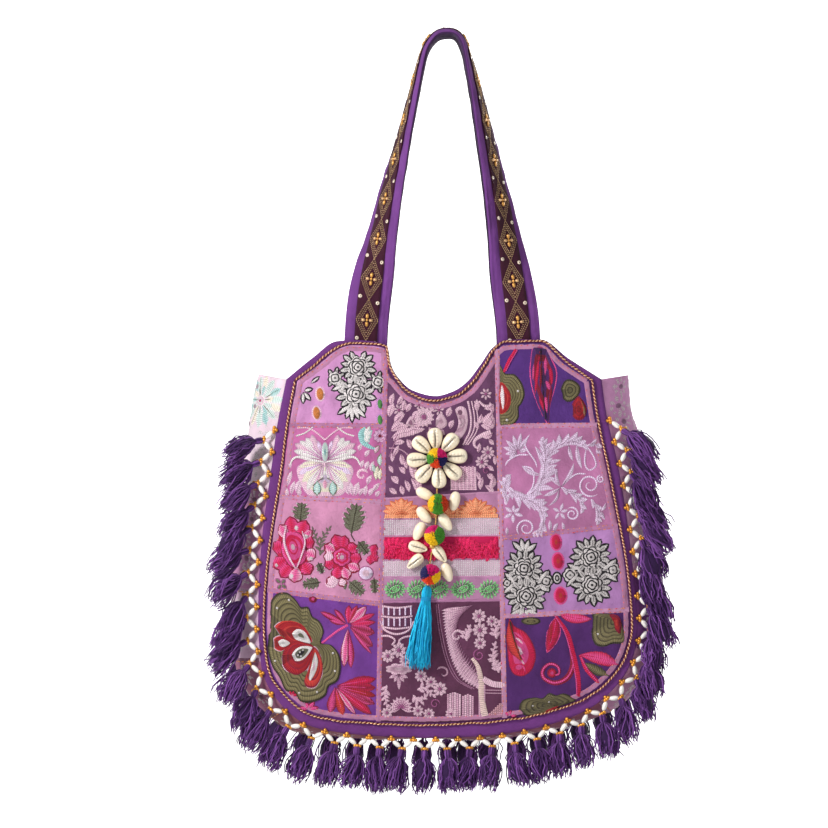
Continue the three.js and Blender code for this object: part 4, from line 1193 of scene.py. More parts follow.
def peony_flower(st):
    """Olive rings with four red petals, and a drop in each."""
    heart = (-143, -614)
    flower = [(-178, -580), (-177, -568), (-170, -561), (-161, -561), (-153, -568), (-148, -575),
              (-141, -575), (-137, -584), (-130, -589), (-126, -599), (-129, -610), (-119, -612),
              (-111, -621), (-109, -634), (-112, -647), (-121, -653), (-124, -662), (-135, -668),
              (-148, -668), (-154, -659), (-163, -657), (-169, -644), (-177, -631), (-181, -610)]
    st.shape_of(flower, heart, banded(OLIVE, MOSS, 11), lift=0.8, rim=MOSS, inner=0.45)
    # outline, heart and tones of the red petals
    petals = [
        ([(-174, -594), (-166, -588), (-154, -588), (-145, -593), (-139, -602), (-137, -609), (-148, -610),
          (-160, -609), (-169, -602)], (-149, -603), banded(RUBY, CORAL, 3)),
        ([(-175, -606), (-168, -603), (-160, -607), (-155, -611), (-162, -615), (-169, -618), (-175, -614)],
         (-164, -610), banded(RUBY, CORAL, 2)),
        ([(-167, -622), (-161, -611), (-150, -608), (-141, -610), (-135, -614), (-137, -625), (-142, -636),
          (-152, -642), (-162, -638), (-167, -630)], (-147, -620), banded(RUBY, WINE, 4)),
        ([(-135, -614), (-129, -621), (-126, -633), (-128, -645), (-134, -654), (-142, -654), (-145, -648),
          (-141, -637), (-138, -626)], (-135, -632), banded(CORAL, WINE, 3))]
    for outline, middle, tones in petals:
        st.shape_of(outline, middle, tones, lift=2.1, rim=BLUSH * 0.8)
    # outline, heart and tones of the drop in each petal
    drops = [
        ([(-157, -601), (-152, -596), (-145, -598), (-140, -605), (-139, -610), (-149, -608), (-155, -605)],
         (-148, -602), [SAGE, SILVER, CREAM]),
        ([(-171, -609), (-166, -606), (-159, -610), (-165, -614), (-170, -612)], (-166, -610),
         [SILVER, CREAM, CREAM]),
        ([(-157, -622), (-153, -616), (-146, -613), (-137, -614), (-139, -619), (-144, -625), (-150, -628),
          (-155, -627)], (-148, -620), [INK * 1.6, SAGE * 0.7, CREAM]),
        ([(-134, -619), (-131, -628), (-133, -638), (-138, -647), (-140, -645), (-138, -635), (-136, -626)],
         (-135, -633), [BLUSH, CREAM, CREAM])]
    for outline, middle, tones in drops:
        st.shape_of(outline, middle, tones, height=0.7, lift=4.2)
    for x, z in ((-149, -619), (-146, -617), (-151, -622), (-148, -623)):
        st.dome((x, z), 1.0, [SILVER], height=0.6, lift=5.0)
    for x, z in ((-172, -575), (-160, -567), (-150, -660), (-132, -659), (-116, -620), (-114, -638),
                 (-174, -628)):
        st.dome((x, z), 1.2, [CREAM], height=0.9, lift=2.2)


def peony_star(st):
    """Red leaves that spread from a star."""
    star = np.array([-101, -592])
    st.stroke(line([(-128, -611), (-113, -599), star]), [2.6, 3], ROSE, height=0.9)
    # tip x, z, width, tone and edge of the leaves about the star
    leaves = [(-128, -579, 4.5, ROSE, WINE), (-114, -577, 4, ROSE, WINE), (-119, -587, 4, ROSE, WINE),
              (-100, -573, 6, CRIMSON, ROSE), (-92, -573, 5, RUBY, ROSE), (-83, -574, 8, ROSE, BLUSH),
              (-75, -581, 4.5, CRIMSON, ROSE), (-74, -589, 5, CRIMSON, ROSE), (-75, -600, 9, WINE, ROSE),
              (-77, -613, 9, WINE, ROSE), (-78, -620, 3, ROSE, ROSE), (-105, -633, 8, ROSE, BLUSH),
              (-98, -634, 7, ROSE, WINE)]
    for x, z, wide, tone, edge in leaves:
        tip = np.array([x, z])
        st.blade(star + (tip - star) * 0.1, tip, wide, tone, edge, rim=WINE, full=0.6)
    st.stroke(np.array([(-101, -600), (-101, -628)]), 0.9, WINE, height=1.9, sink=-1.0)


def peony_root(st):
    """Red leaves that spread from a root at the flower's foot."""
    root = np.array([-114, -653])
    # tip x, z, width, tone and edge of the leaves from the root
    leaves = [(-74, -646, 9, CRIMSON, WINE), (-74, -655, 9, WINE, CRIMSON), (-74, -663, 8, RUBY, WINE),
              (-75, -671, 9, WINE, ROSE), (-78, -681, 9, CRIMSON, WINE), (-94, -681, 5, ROSE, BLUSH),
              (-106, -683, 7, CORAL, RUBY), (-119, -680, 8, ROSE, WINE)]
    for x, z, wide, tone, edge in leaves:
        tip = np.array([x, z])
        st.blade(root + (tip - root) * 0.06, tip, wide, tone, edge, rim=WINE, vein=ROSE, full=0.62)
    st.fan((-141, -677), [(-149, -675), (-143, -670), (-135, -669), (-131, -675)], 4, ROSE, rim=WINE)
    st.fan((-157, -664), [(-160, -657), (-155, -656), (-152, -661)], 3, CRIMSON, rim=WINE)
    st.dome((-136, -566), (3.4, 3), [ROSE, WINE], rim=WINE)


def stitch_peony(st):
    """A large peony, a star of leaves and a fan of leaves from one root."""
    peony_flower(st)
    peony_star(st)
    peony_root(st)


def vine_stem(st):
    """Three stems and a comma beside them."""
    for off, wide in ((0, 2.4), (3.6, 1.7), (6.8, 1.5)):
        st.stroke(line([(19 + off, -368), (22 + off, -384), (21 + off, -398), (14 + off * 0.7, -412)]),
                  wide, PALE, height=0.8)
    comma = [(6, -377), (11, -373), (17, -376), (19, -388), (16, -400), (8, -408), (-2, -409), (5, -402),
             (9, -393), (9, -385)]
    st.shape_of(comma, (14, -390), [PALE, BROCADE, PALE, PALE], height=0.7)
    st.dome((11, -379.5), (2.4, 2.8), [DUSK * 0.6], height=0.4, lift=0.9)


def vine_flowers(st):
    """Open flowers and two closed ones."""
    # centre x, z, radius and petals of the open flowers
    for x, z, r, petals in ((39, -419.5, 7, 9), (33, -429, 7, 9), (-25, -384, 10.5, 13),
                            (-10, -377, 5.5, 6), (-50, -377, 6, 7), (37, -361, 6, 7), (-30, -372, 5, 6)):
        st.daisy((x, z), r, petals, PALE, MAUVE, turn=0.2, width=0.5)
    st.shape_of([(-13, -386), (-8, -380), (-3, -386), (-2, -392), (-8, -396), (-14, -392)], (-8, -388),
                [BROCADE, PALE, PALE], height=0.9)
    st.shape_of([(-43, -391), (-38, -383), (-34, -391), (-38, -395)], (-38.5, -390), [DUSK, PALE],
                height=0.9)


def vine_leaves(st):
    """Single leaves all over the ground."""
    # base x, z, tip x, z, width and bend of the single leaves
    leaves = [(-58, -405, -30, -400, 8, 3), (-58, -398, -45, -390, 8, 1), (-44, -402, -30, -396, 6, 2),
              (-55, -390, -48, -379, 7, -1), (-60, -384, -55, -370, 7, 1), (-43, -379, -38, -370, 5, 0),
              (-56, -408, -48, -398, 6, 0), (-20, -394, -16, -403, 5, 1), (-2, -384, 2, -374, 6, 0),
              (1, -396, 5, -387, 5, 1), (28, -379, 28, -366, 5, 0), (44, -379, 33, -390, 8, 1.5),
              (45, -386, 37, -397, 7, 1), (33, -381, 29, -391, 5, 1), (45, -371, 35, -376, 5, 1),
              (44, -400, 33, -404, 6, 1), (-42, -406, -38, -416, 6, 1), (-57, -419, -57, -429, 4, 0.5),
              (-48, -421, -47, -432, 5, 0.6), (-58, -443, -51, -451, 6, 1), (-40, -431, -36, -446, 6, 2),
              (-33, -430, -34, -446, 6, -2), (-38, -445, -31, -461, 6, 2), (-28, -446, -29, -461, 6, -2),
              (-44, -447, -40, -459, 5, 1), (45, -443, 41, -456, 6, 1), (34, -444, 31, -457, 5, -1),
              (38, -432, 45, -438, 4, 0), (-60, -455, -52, -461, 5, 0), (-20, -372, -15, -379, 4, 0),
              (-12, -398, -4, -402, 5, 1), (-60, -432, -56, -440, 4, 0), (-58, -373, -55, -360, 5, 1),
              (-52, -372, -47, -362, 5, -1), (-46, -378, -44, -367, 5, 0), (-52, -388, -44, -381, 5, 1),
              (-36, -388, -30, -377, 6, 1), (-38, -392, -27, -393, 5, 1), (-37, -396, -24, -396, 5, -1),
              (-53, -396, -40, -393, 5, 1), (-22, -399, -18, -408, 5, 1), (-55, -411, -44, -409, 5, 1),
              (-50, -434, -44, -441, 5, 1), (-56, -424, -50, -412, 4, 0), (-45, -426, -42, -436, 4, 0),
              (45, -392, 40, -381, 6, 0), (42, -396, 32, -392, 6, -1), (44, -380, 41, -369, 5, 0),
              (40, -406, 45, -412, 4, 0), (30, -396, 25, -388, 4, 0), (46, -422, 46, -432, 4, 0),
              (29, -420, 31, -410, 4, 0), (38, -441, 44, -447, 5, 1), (28, -438, 31, -448, 4, 0),
              (36, -452, 45, -461, 5, 1), (-48, -452, -46, -462, 5, 0)]
    for bx, bz, tx, tz, wide, bend in leaves:
        st.blade((bx, bz), (tx, tz), wide * 1.3, PALE, BROCADE, vein=DUSK, bend=bend, height=0.8)


def vine_trails(st):
    """Loose stems, a curl and a block of upright stitches."""
    st.stroke(line([(30, -368), (36, -373), (45, -372)]), [2, 3.4, 2.4], PALE, height=0.8)
    st.stroke(line([(42, -399), (34, -402), (27, -406), (25, -411), (28, -415), (31, -413)]),
              [6, 5.5, 5, 4, 3, 2], PALE, height=0.8)
    st.curl((37, -438), 4, 1.3, 1.1, MAUVE)
    for x in range(2, 27, 2):
        st.stroke(np.array([(x, -433 - 0.5 * (x % 4)), (x + 0.6, -457)]), 2.6,
                  PALE if x % 4 else BROCADE * 1.06, height=0.5, across=4, step=3)
    st.stroke(line([(-60, -415), (-50, -416), (-42, -421), (-38, -428)]), 1.4, BROCADE, height=0.7)
    st.stroke(line([(-52, -402), (-56, -414), (-60, -424)]), 1.2, DUSK, height=0.7)


def stitch_vine(st):
    """Fine brocade: a curved stem among leaves and open flowers."""
    vine_stem(st)
    vine_flowers(st)
    vine_leaves(st)
    vine_trails(st)


def garden_basket(st):
    """The ribbed basket with its handles."""
    for z, half in ((-573, 15), (-583, 16), (-594, 14)):
        st.stroke(line([(-52 - half, z), (-52, z - 1.6), (-52 + half, z)]), 2.2, PALE, height=0.8)
    for z in (-578, -589):
        for k in range(6):
            st.stroke(np.array([(-66 + 5.6 * k, z + 4), (-66 + 5.6 * k, z - 4)]), 1.9, LILAC, height=0.8)
    st.stroke(line([(-69, -588), (-64, -597), (-52, -601), (-40, -597), (-35, -588)]), 2.4, PALE,
              height=0.9)
    st.stroke(line([(-68, -603), (-60, -603), (-54, -607), (-57, -612)]), 2.4, PALE, height=0.8)
    st.stroke(line([(-36, -603), (-44, -604), (-50, -608), (-46, -613)]), 2.4, PALE, height=0.8)


def garden_flowers(st):
    """Open flowers about the basket."""
    # centre x, z and radius of the open flowers
    daisies = [(-61, -623, 7), (-50, -617, 8), (-44, -627, 6), (-9, -656, 7.5), (-28, -643, 6.5),
               (30, -583, 7.5), (31, -597, 8), (31, -610, 6.5), (-18, -649, 6), (-62, -680, 6),
               (-31, -678, 6), (-20, -681, 6), (2, -681, 6), (43, -588, 6)]
    for x, z, r in daisies:
        st.daisy((x, z), r, 9, PALE, MAUVE, turn=x, width=0.56)
    st.dome((-50, -636), (14, 6), [PALE, BROCADE, PALE], lobes=8, depth=0.2)
    st.fan((-50, -641), [(-60, -645), (-55, -649), (-50, -657), (-45, -649), (-41, -645)], 4.5, PALE,
           vein=DUSK, edge=DUSK)
    heart = np.array([-48, -675])
    for k in range(11):
        tip = heart + 12 * heading_of(math.radians(-20 + 22 * k))
        st.blade(heart, tip, 5.6, PALE, DUSK, vein=MAUVE * 0.9, full=0.55, height=0.7)


def garden_plume(st):
    """A plume of long leaves between two curved edges."""
    outer = line([(-8, -571), (-6, -590), (-2, -612), (4, -632), (13, -647), (28, -656)], 2.2)
    inner = line([(24, -572), (12, -582), (8, -598), (14, -616), (28, -634), (36, -650)], 2.2)
    outer, inner = resample(outer, 64), resample(inner, 64)
    for k in range(0, 62, 2):
        st.blade(inner[k], outer[min(k + 4, 63)], 5.6, PALE, DUSK, vein=DUSK, bend=1.2, full=0.66,
                 height=0.7)
    for off in (2.5, 5):
        st.stroke(outer - np.array([off, 0]), 1.1, DUSK, height=0.8)


def garden_trails(st):
    """Stems, curls and sprays."""
    st.stroke(line([(34, -646), (44, -651), (56, -652)]), 7, PALE, height=0.9)
    st.stroke(line([(23, -625), (29, -634), (32, -650), (33, -668), (36, -683)]), [3, 5, 6, 6, 7],
              srgb(226, 196, 190), height=1.4, sink=-0.3)
    for z in (-657, -660):
        st.stroke(np.array([(34, z), (55, z - 0.5)]), 1.2, BROCADE, height=0.7)
    st.curl((8, -603), 6.5, 1.2, 3, PALE, height=1.5)
    st.curl((30, -622), 6, 1.5, 1.6, MAUVE, start=90)
    st.curl((-14, -671), 5, 1.4, 1.3, MAUVE)
    st.curl((-6, -640), 7, 0.9, 2.4, BROCADE, start=150, sense=-1)
    sprays = [[(46, -634), (44, -622), (46, -612)], [(50, -640), (47, -632), (44, -628)],
              [(18, -608), (17, -602), (20, -595)], [(48, -606), (46, -598), (50, -590)],
              [(-32, -657), (-24, -655), (-16, -662)], [(-62, -652), (-64, -662), (-62, -672)],
              [(-36, -662), (-30, -668), (-24, -664)]]
    for points in sprays:
        st.spray(points, 8, 9, 5, PALE, edge=DUSK, lean=46, stem=2.0)


def garden_grass(st):
    """Upright stitches along the foot."""
    for x, wide, top in ((5, 14, -659), (19, 12, -661), (33, 7, -650)):
        steps = int(wide / 2.2)
        for k in range(steps):
            at = x - wide / 2 + (k + 0.5) * wide / steps
            dip = 2.5 * abs(k - (steps - 1) / 2) / steps * 2
            st.stroke(np.array([(at, top - dip), (at, -684)]), 2.5, PALE if k % 2 else BROCADE * 1.05,
                      height=0.7, across=4, step=3)
    for k in range(8):
        st.stroke(np.array([(41 + 2 * k, -683), (41 + 2 * k, -680 + 1.9 * min(k, 5))]), 2.3,
                  CORAL * 0.25 + PALE * 0.6, height=0.7, across=4)


def stitch_garden(st):
    """Fine brocade: a basket of flowers, a great plume and grasses."""
    garden_basket(st)
    garden_flowers(st)
    garden_plume(st)
    garden_trails(st)
    garden_grass(st)


def half_peony(st):
    """Half a flower with its stem, cut by the seam."""
    half_flower = [(51, -333), (56, -341), (65, -342), (72, -350), (75, -361), (72, -370), (69, -374),
                   (69, -384), (64, -391), (56, -392), (51, -390), (51, -362)]
    st.shape_of(half_flower, (51.5, -364), banded(OLIVE, MOSS, 9), height=1.3, rim=MOSS)
    st.shape_of([(51, -349), (57, -352), (62, -361), (62, -371), (58, -379), (51, -381), (51, -365)],
                (52, -365), banded(RUBY, CORAL, 3), lift=1.2, rim=WINE)
    st.blade((53, -352), (54, -377), 5, CREAM, BLUSH, rim=CORAL, height=0.7, lift=2.3)
    for x, z in ((69, -358), (58, -387)):
        st.dome((x, z), 1.3, [CREAM], height=0.9, lift=1.4)
    st.stroke(line([(67, -316), (60, -328), (55, -339)]), [3, 4, 3], CRIMSON, height=0.9)
    st.stroke(line([(68.5, -317), (62, -328), (57, -338)]), 1.0, ROSE, height=1.4, sink=-0.6)


def long_leaf(st):
    """A dark leaf with marks inside it."""
    outline = [(85, -314), (82, -330), (82, -345), (85, -360), (91, -376), (99, -390), (101, -372),
               (106, -352), (107, -338), (102, -326), (96, -314)]
    st.rim = 1.2
    st.shape_of(outline, (94, -342), [srgb(84, 34, 96), srgb(96, 40, 116), WINE, srgb(84, 40, 112)],
                height=0.8, rim=ROSE)
    st.rim = 1.0
    # base x, z, tip x, z, width and tone of the marks inside the leaf
    marks = [(91, -318, 86, -362, 5, CRIMSON), (93, -318, 91, -365, 5, WINE), (97, -322, 96, -345, 6, ROSE),
             (101, -332, 103, -352, 6, CRIMSON), (97, -346, 101, -358, 7, ROSE),
             (90, -362, 95, -378, 4, CRIMSON), (96, -360, 98, -380, 5, ROSE), (85, -330, 84, -348, 3, ROSE),
             (103, -352, 100, -372, 3, WINE)]
    for bx, bz, tx, tz, wide, tone in marks:
        st.blade((bx, bz), (tx, tz), wide, tone, WINE, lift=0.7)
    st.stroke(line([(92, -316), (93, -345), (97, -386)]), 1.1, INK, height=1.8, sink=-0.6)


def small_buds(st):
    """An olive bud and a red one."""
    st.shape_of([(113, -356), (117, -348), (124, -348), (130, -353), (130, -360), (125, -366), (119, -368),
                 (114, -364)], (121, -357), banded(OLIVE * 0.8, MOSS, 3), height=1.4, rim=MOSS)
    st.shape_of([(124, -372), (129, -364), (134, -369), (137, -377), (134, -385), (128, -386), (124, -381)],
                (130, -376), banded(RUBY, WINE, 3), height=1.3, rim=WINE)
    for k in range(4):
        st.blade((132 + k, -366 - 2 * k), (136, -384), 2.2, OLIVE if k % 2 else CORAL, MOSS, height=0.8,
                 lift=1.3)


def stitch_bud(st):
    """Half a peony at the seam, one long leaf and two buds."""
    half_peony(st)
    long_leaf(st)
    small_buds(st)


def acanthus(st, points, leaves, long, wide, stem):
    """A curved stem under overlapping leaves that bend away from it, longest at the middle."""
    path = line(points, 1.0)
    d = unit(np.gradient(path, axis=0))
    st.stroke(path, [stem * 1.6, stem, stem * 0.6], LILAC, height=0.8, taper=0.06)
    for k in range(leaves):
        t = (k + 0.5) / leaves
        i = int(t * 0.94 * (len(path) - 1))
        sense = 1 if k % 2 else -1
        c, s = heading_of(math.radians(26) * sense)
        way = np.array([c * d[i, 0] - s * d[i, 1], s * d[i, 0] + c * d[i, 1]])
        reach = long * (0.55 + 0.45 * math.sin(math.pi * min(1, t + 0.15)))
        reach = reach * (0.9 + 0.2 * ((k * 7) % 5) / 4)
        st.blade(path[i], path[i] + way * reach, wide, LILAC * (0.93 + 0.07 * (k % 3)), ACANTHUS_SHADE,
                 vein=ACANTHUS_SHADE, bend=-0.14 * reach * sense, lift=0.25 * (k % 2))


def scroll_boughs(st):
    """The great boughs."""
    # points of a stem, its leaves, their length and width, and the stem's width
    boughs = [([(77, -463), (86, -457), (94, -444), (96, -430), (101, -417)], 17, 22, 7.5, 4),
              ([(99, -424), (108, -414), (122, -409), (136, -412)], 13, 17, 6.5, 3),
              ([(96, -430), (96, -418), (93, -408)], 7, 14, 6, 2.6),
              ([(58, -454), (66, -461), (77, -466), (89, -473), (95, -485)], 15, 18, 7, 4),
              ([(57, -472), (56, -456), (58, -444)], 7, 15, 7, 2.6),
              ([(112, -454), (122, -460), (131, -466), (134, -478)], 9, 13, 5.4, 2),
              ([(95, -485), (93, -494), (86, -502)], 7, 12, 6, 2.4),
              ([(142, -466), (148, -476), (150, -490)], 7, 12, 5, 2),
              ([(138, -413), (146, -411), (150, -420)], 6, 9, 4.4, 1.6)]
    for points, leaves, long, wide, stem in boughs:
        acanthus(st, points, leaves, long, wide, stem)


def scroll_leaves(st):
    """Single leaves, and leaves that spread like fans."""
    # base x, z, tip x, z, width and bend of the single leaves
    leaves = [(92, -442, 73, -433, 6, 2), (94, -432, 86, -413, 5, -1), (97, -432, 112, -427, 5, 1),
              (96, -439, 109, -437, 5, 1), (93, -446, 103, -446, 4, 1), (128, -411, 133, -436, 5.5, -1.5),
              (120, -412, 124, -428, 4.5, -1), (112, -454, 125, -430, 5, -2),
              (112, -454, 108, -436, 4, 2.5), (112, -454, 102, -447, 4, -1), (111, -455, 94, -463, 5, 1),
              (110, -456, 99, -473, 3.4, 3), (113, -453, 119, -444, 3, 0), (157, -470, 152, -478, 4, 1),
              (153, -478, 156, -487, 4, -1), (58, -502, 58, -494, 4, 0), (101, -498, 101, -487, 5, 0),
              (105, -499, 109, -490, 5, 1), (114, -498, 113, -489, 4, -1), (146, -478, 152, -477, 3, 0)]
    for bx, bz, tx, tz, wide, bend in leaves:
        st.blade((bx, bz), (tx, tz), wide, LILAC, ACANTHUS_SHADE, vein=ACANTHUS_SHADE, bend=bend)
    st.fan((69, -419), [(54, -414), (57, -407), (64, -402), (72, -400), (79, -404), (56, -421), (60, -425),
                        (79, -416)], 5.6, LILAC, vein=ACANTHUS_SHADE, start=0.1, edge=ACANTHUS_SHADE)
    st.fan((64, -480), [(56, -474), (55, -485), (64, -490), (74, -483), (71, -475), (65, -472)], 4.8, LILAC,
           start=0.1, edge=ACANTHUS_SHADE)
    st.fan((111, -479), [(104, -475), (114, -470), (119, -477), (116, -486), (106, -486)], 4.2, LILAC,
           start=0.1, edge=ACANTHUS_SHADE)


def scroll_stems(st):
    """Thin stems and curls."""
    # points of the thin stems
    stems = [[(81, -401), (76, -410), (79, -418), (86, -428), (88, -435)],
             [(73, -433), (83, -436), (85, -446), (83, -455), (77, -462)],
             [(138, -413), (145, -424), (147, -433), (140, -437), (136, -430), (137, -416)],
             [(120, -446), (128, -441), (137, -441)], [(56, -433), (60, -427), (70, -422), (80, -422)]]
    for points in stems:
        st.stroke(line(points), 1.9, LILAC, height=0.8, taper=0.1)
    for x, z, r, start, sense in ((141, -452, 12, 310, -1), (77, -495, 9.5, 230, -1),
                                  (123, -481, 7, 130, -1), (152, -446, 4, 90, 1)):
        st.curl((x, z), r, 1.7, 2.1, LILAC, start=start, sense=sense)


def stitch_scroll(st):
    """Scrolls of pale acanthus."""
    scroll_boughs(st)
    scroll_leaves(st)
    scroll_stems(st)


def stitch_silver_rose(st):
    """Two columns of silver roses with dark outlines, and red buds between them."""
    st.rim = 1.7
    # centre x, z and radius of the roses, then the corners that their leaves stay between
    left, right = ((53, -583), (103, -504)), ((116, -575), (173, -496))
    roses = [(75, -535, 12.4, left), (77, -563, 12.8, left), (97, -548, 6.6, left), (58, -550, 5.6, left),
             (142, -524, 13, right), (143, -552, 13, right), (121, -542, 7, right), (164, -537, 7, right)]
    for x, z, r, (low, high) in roses:
        ring_of_leaves(st, (x, z), r, 15 if r > 8 else 7, SILVER, INK, low, high)
    fans = [((66, -549), [(56, -540), (55, -560), (62, -546)]),
            ((88, -551), [(98, -538), (99, -558), (92, -546)]),
            ((131, -538), [(119, -531), (118, -553), (127, -533)]),
            ((154, -538), [(166, -527), (168, -548), (158, -532)]),
            ((76, -576), [(62, -581), (70, -582), (79, -582), (88, -581)]),
            ((75, -520), [(64, -509), (72, -506), (80, -507), (87, -511)])]
    for base, tips in fans:
        st.fan(base, tips, 4.8, SILVER, rim=INK)
    for x, z, r, _ in roses:
        st.rose((x, z), r, SILVER, INK, lobes=9 if r > 8 else 6, turn=x)
    for x, z, rx, rz in ((107, -509, 4.6, 7.4), (109, -528, 5, 7.6), (111.5, -562.5, 5.4, 7.6)):
        st.dome((x, z), (rx, rz), [CORAL, CRIMSON, CRIMSON], tilt=4, height=1.2, rim=ROSE)
    st.dome((108, -545), (3.6, 5), [SILVER, INK, SILVER], tilt=4, rim=INK)


def folded_petal(st):
    """The petal beside the seam."""
    st.shape_of([(60, -586), (66, -594), (76, -600), (83, -611), (86, -623), (83, -635), (75, -642),
                 (66, -641), (61, -633), (59, -615), (58, -598)], (70, -618),
                [BLUSH, ROSE, ROSE, CRIMSON, CRIMSON], height=1.0, rim=WINE)
    for k in range(7):
        root = np.array([62 + 1.2 * k, -598 - 5.2 * k])
        st.blade(root, root + np.array([13 - k, -10]), 3.6, BLUSH if k % 2 else ROSE, CRIMSON, bend=1.5,
                 height=0.8, lift=0.9)
    st.blade((60, -588), (73, -628), 9, CORAL, RUBY, rim=WINE, bend=-4, full=0.6, lift=1.2)
    st.stroke(line([(61, -588), (66, -610), (72, -626)]), 1.2, MOSS, height=2.4, sink=-1.6)
    st.dome((70, -634), (7, 5), [ROSE, CRIMSON], tilt=10, height=0.6, lift=1.0)


def curled_stalk(st):
    """The stalk with its two leaves and its curl."""
    st.blade((107, -585), (98, -619), 12, CRIMSON, WINE, rim=ROSE, vein=ROSE, bend=1.5, full=0.45)
    st.blade((103, -590), (101, -612), 3, RUBY, WINE, lift=0.8)
    st.blade((111, -581), (142, -586), 9.5, ROSE, CRIMSON, rim=WINE, vein=CRIMSON, bend=-1.5, full=0.45)
    st.stroke(line([(107, -583), (118, -600), (124, -621), (129, -645), (130, -664)]), [3, 5.5, 6, 6, 5],
              CRIMSON, height=1.0)
    st.stroke(line([(106, -583), (116, -600), (122, -621), (127, -645), (128, -663)]), 1.3, ROSE,
              height=1.6, sink=-0.6)
    curl = [(122, -617), (124, -632), (118, -645), (106, -650), (95, -645), (94, -637), (101, -631),
            (109, -634), (110, -641), (104, -642)]
    st.stroke(line(curl), [4, 7, 7, 6, 5, 4.5, 4, 3], WINE, height=1.0)
    st.stroke(line(curl), [1, 2, 2.4, 2, 1.6, 1.4], ROSE, height=1.5, sink=-0.5)
    st.dome((103, -640), (5, 5), [ROSE, CRIMSON, WINE], height=0.8, lift=0.4)


def stalk_leaves(st):
    """Leaves and olive flowers about the stalk."""
    st.blade((131, -622), (169, -632), 12, ROSE, CRIMSON, rim=WINE, vein=CRIMSON, bend=2, full=0.55)
    st.blade((136, -630), (160, -643), 8, OLIVE * 0.8, MOSS, rim=MOSS, bend=-1)
    st.stroke(line([(131, -622), (138, -637), (150, -650)]), [3, 5, 4], CRIMSON, height=0.9)
    st.stroke(line([(132, -624), (139, -637), (149, -649)]), 1.2, ROSE, height=1.5, sink=-0.6)
    st.shape_of([(144, -582), (156, -581), (168, -584), (174, -596), (175, -609), (164, -610), (155, -613),
                 (146, -610), (143, -597)], (165, -588), banded(OLIVE, MOSS, 6), height=1.3, rim=MOSS)
    st.shape_of([(161, -583), (169, -584), (172, -594), (171, -601), (165, -596)], (167, -589),
                [CORAL, RUBY, WINE], height=1.0, lift=1.2, rim=WINE)
    st.shape_of([(71, -677), (74, -668), (86, -665), (94, -666), (100, -661), (107, -663), (114, -661),
                 (122, -664), (126, -668), (112, -673), (100, -678), (86, -682), (75, -682)], (98, -672),
                banded(OLIVE * 0.75, MOSS, 5), height=1.3, rim=MOSS)
    st.blade((96, -679), (110, -673), 3.5, RUBY, WINE, height=0.8, lift=1.0)
    st.dome((82, -588), (9, 3), banded(OLIVE, MOSS, 2), rim=MOSS)
    for x, z in ((100, -669), (84, -673), (149, -601)):
        st.dome((x, z), 1.2, [CREAM], height=0.9, lift=1.4)
    st.fan((61, -683), [(56, -680), (62, -678), (67, -683)], 3.2, ROSE, rim=WINE)


def stitch_stem(st):
    """A folded petal, a stalk with a curl, and leaves."""
    folded_petal(st)
    curled_stalk(st)
    stalk_leaves(st)


def lace_span(st):
    """The left and right end, the top and the foot of a lace row."""
    x, z = st.patch[0, :, 0], st.patch[..., 1]
    return x[0] + 3, x[-1] - 3, z.max(), z.min()


def stitch_orange(st):
    """Palmettes on a band."""
    left, right, _, foot = lace_span(st)
    tone, dark = srgb(255, 176, 132), srgb(226, 116, 78)
    count = 3
    pitch = (right - left) / count
    # reach to the side, height and width of the leaves of half a palmette
    leaves = [(19, 6, 5), (16, 11, 6), (11, 15.5, 6), (6, 17, 5)]
    for k in range(count):
        x = left + pitch * (k + 0.42)
        for reach, rise, wide in leaves:
            for side in (-1, 1):
                st.blade((x + side, foot + 2), (x + side * reach, foot + 2 + rise), wide, tone, dark,
                         rim=dark, vein=dark, bend=side * 1.5, full=0.55, height=1.0)
        st.blade((x, foot + 2), (x, foot + 21), 8, tone, dark, rim=dark, vein=dark, full=0.6, height=1.1,
                 lift=0.3)
        st.blade((x + pitch / 2, foot + 2), (x + pitch / 2, foot + 12), 5, tone, dark, rim=dark, full=0.6)
    for off in (1.6, 3.6):
        st.stroke(np.array([(left - 1, foot + off), (right + 1, foot + off + 0.6)]), 2.2, tone, height=1.4,
                  sink=-0.2, across=5)


def stitch_braid(st):
    """Rows of small pale knots."""
    left, right, top, foot = lace_span(st)
    rows, columns = int((top - foot) / 1.9), int((right - left) / 2)
    x, z = np.meshgrid(np.linspace(left - 1, right + 1, columns), np.linspace(foot + 1.6, top - 1.6, rows))
    z = z + 0.25 * np.sin(x * 1.7)
    r = np.random.default_rng(rows)
    points = st.place(x.ravel(), z.ravel(), np.full(x.size, 0.3))
    tones = srgb(255, 246, 252) * r.uniform(0.85, 1.02, (x.size, 1))
    axes = np.diag([0.86, 0.5, 0.8]) * r.uniform(0.8, 1.15, (x.size, 1, 1))
    st.shape.copies(ball(2, 4), points, axes, tones)


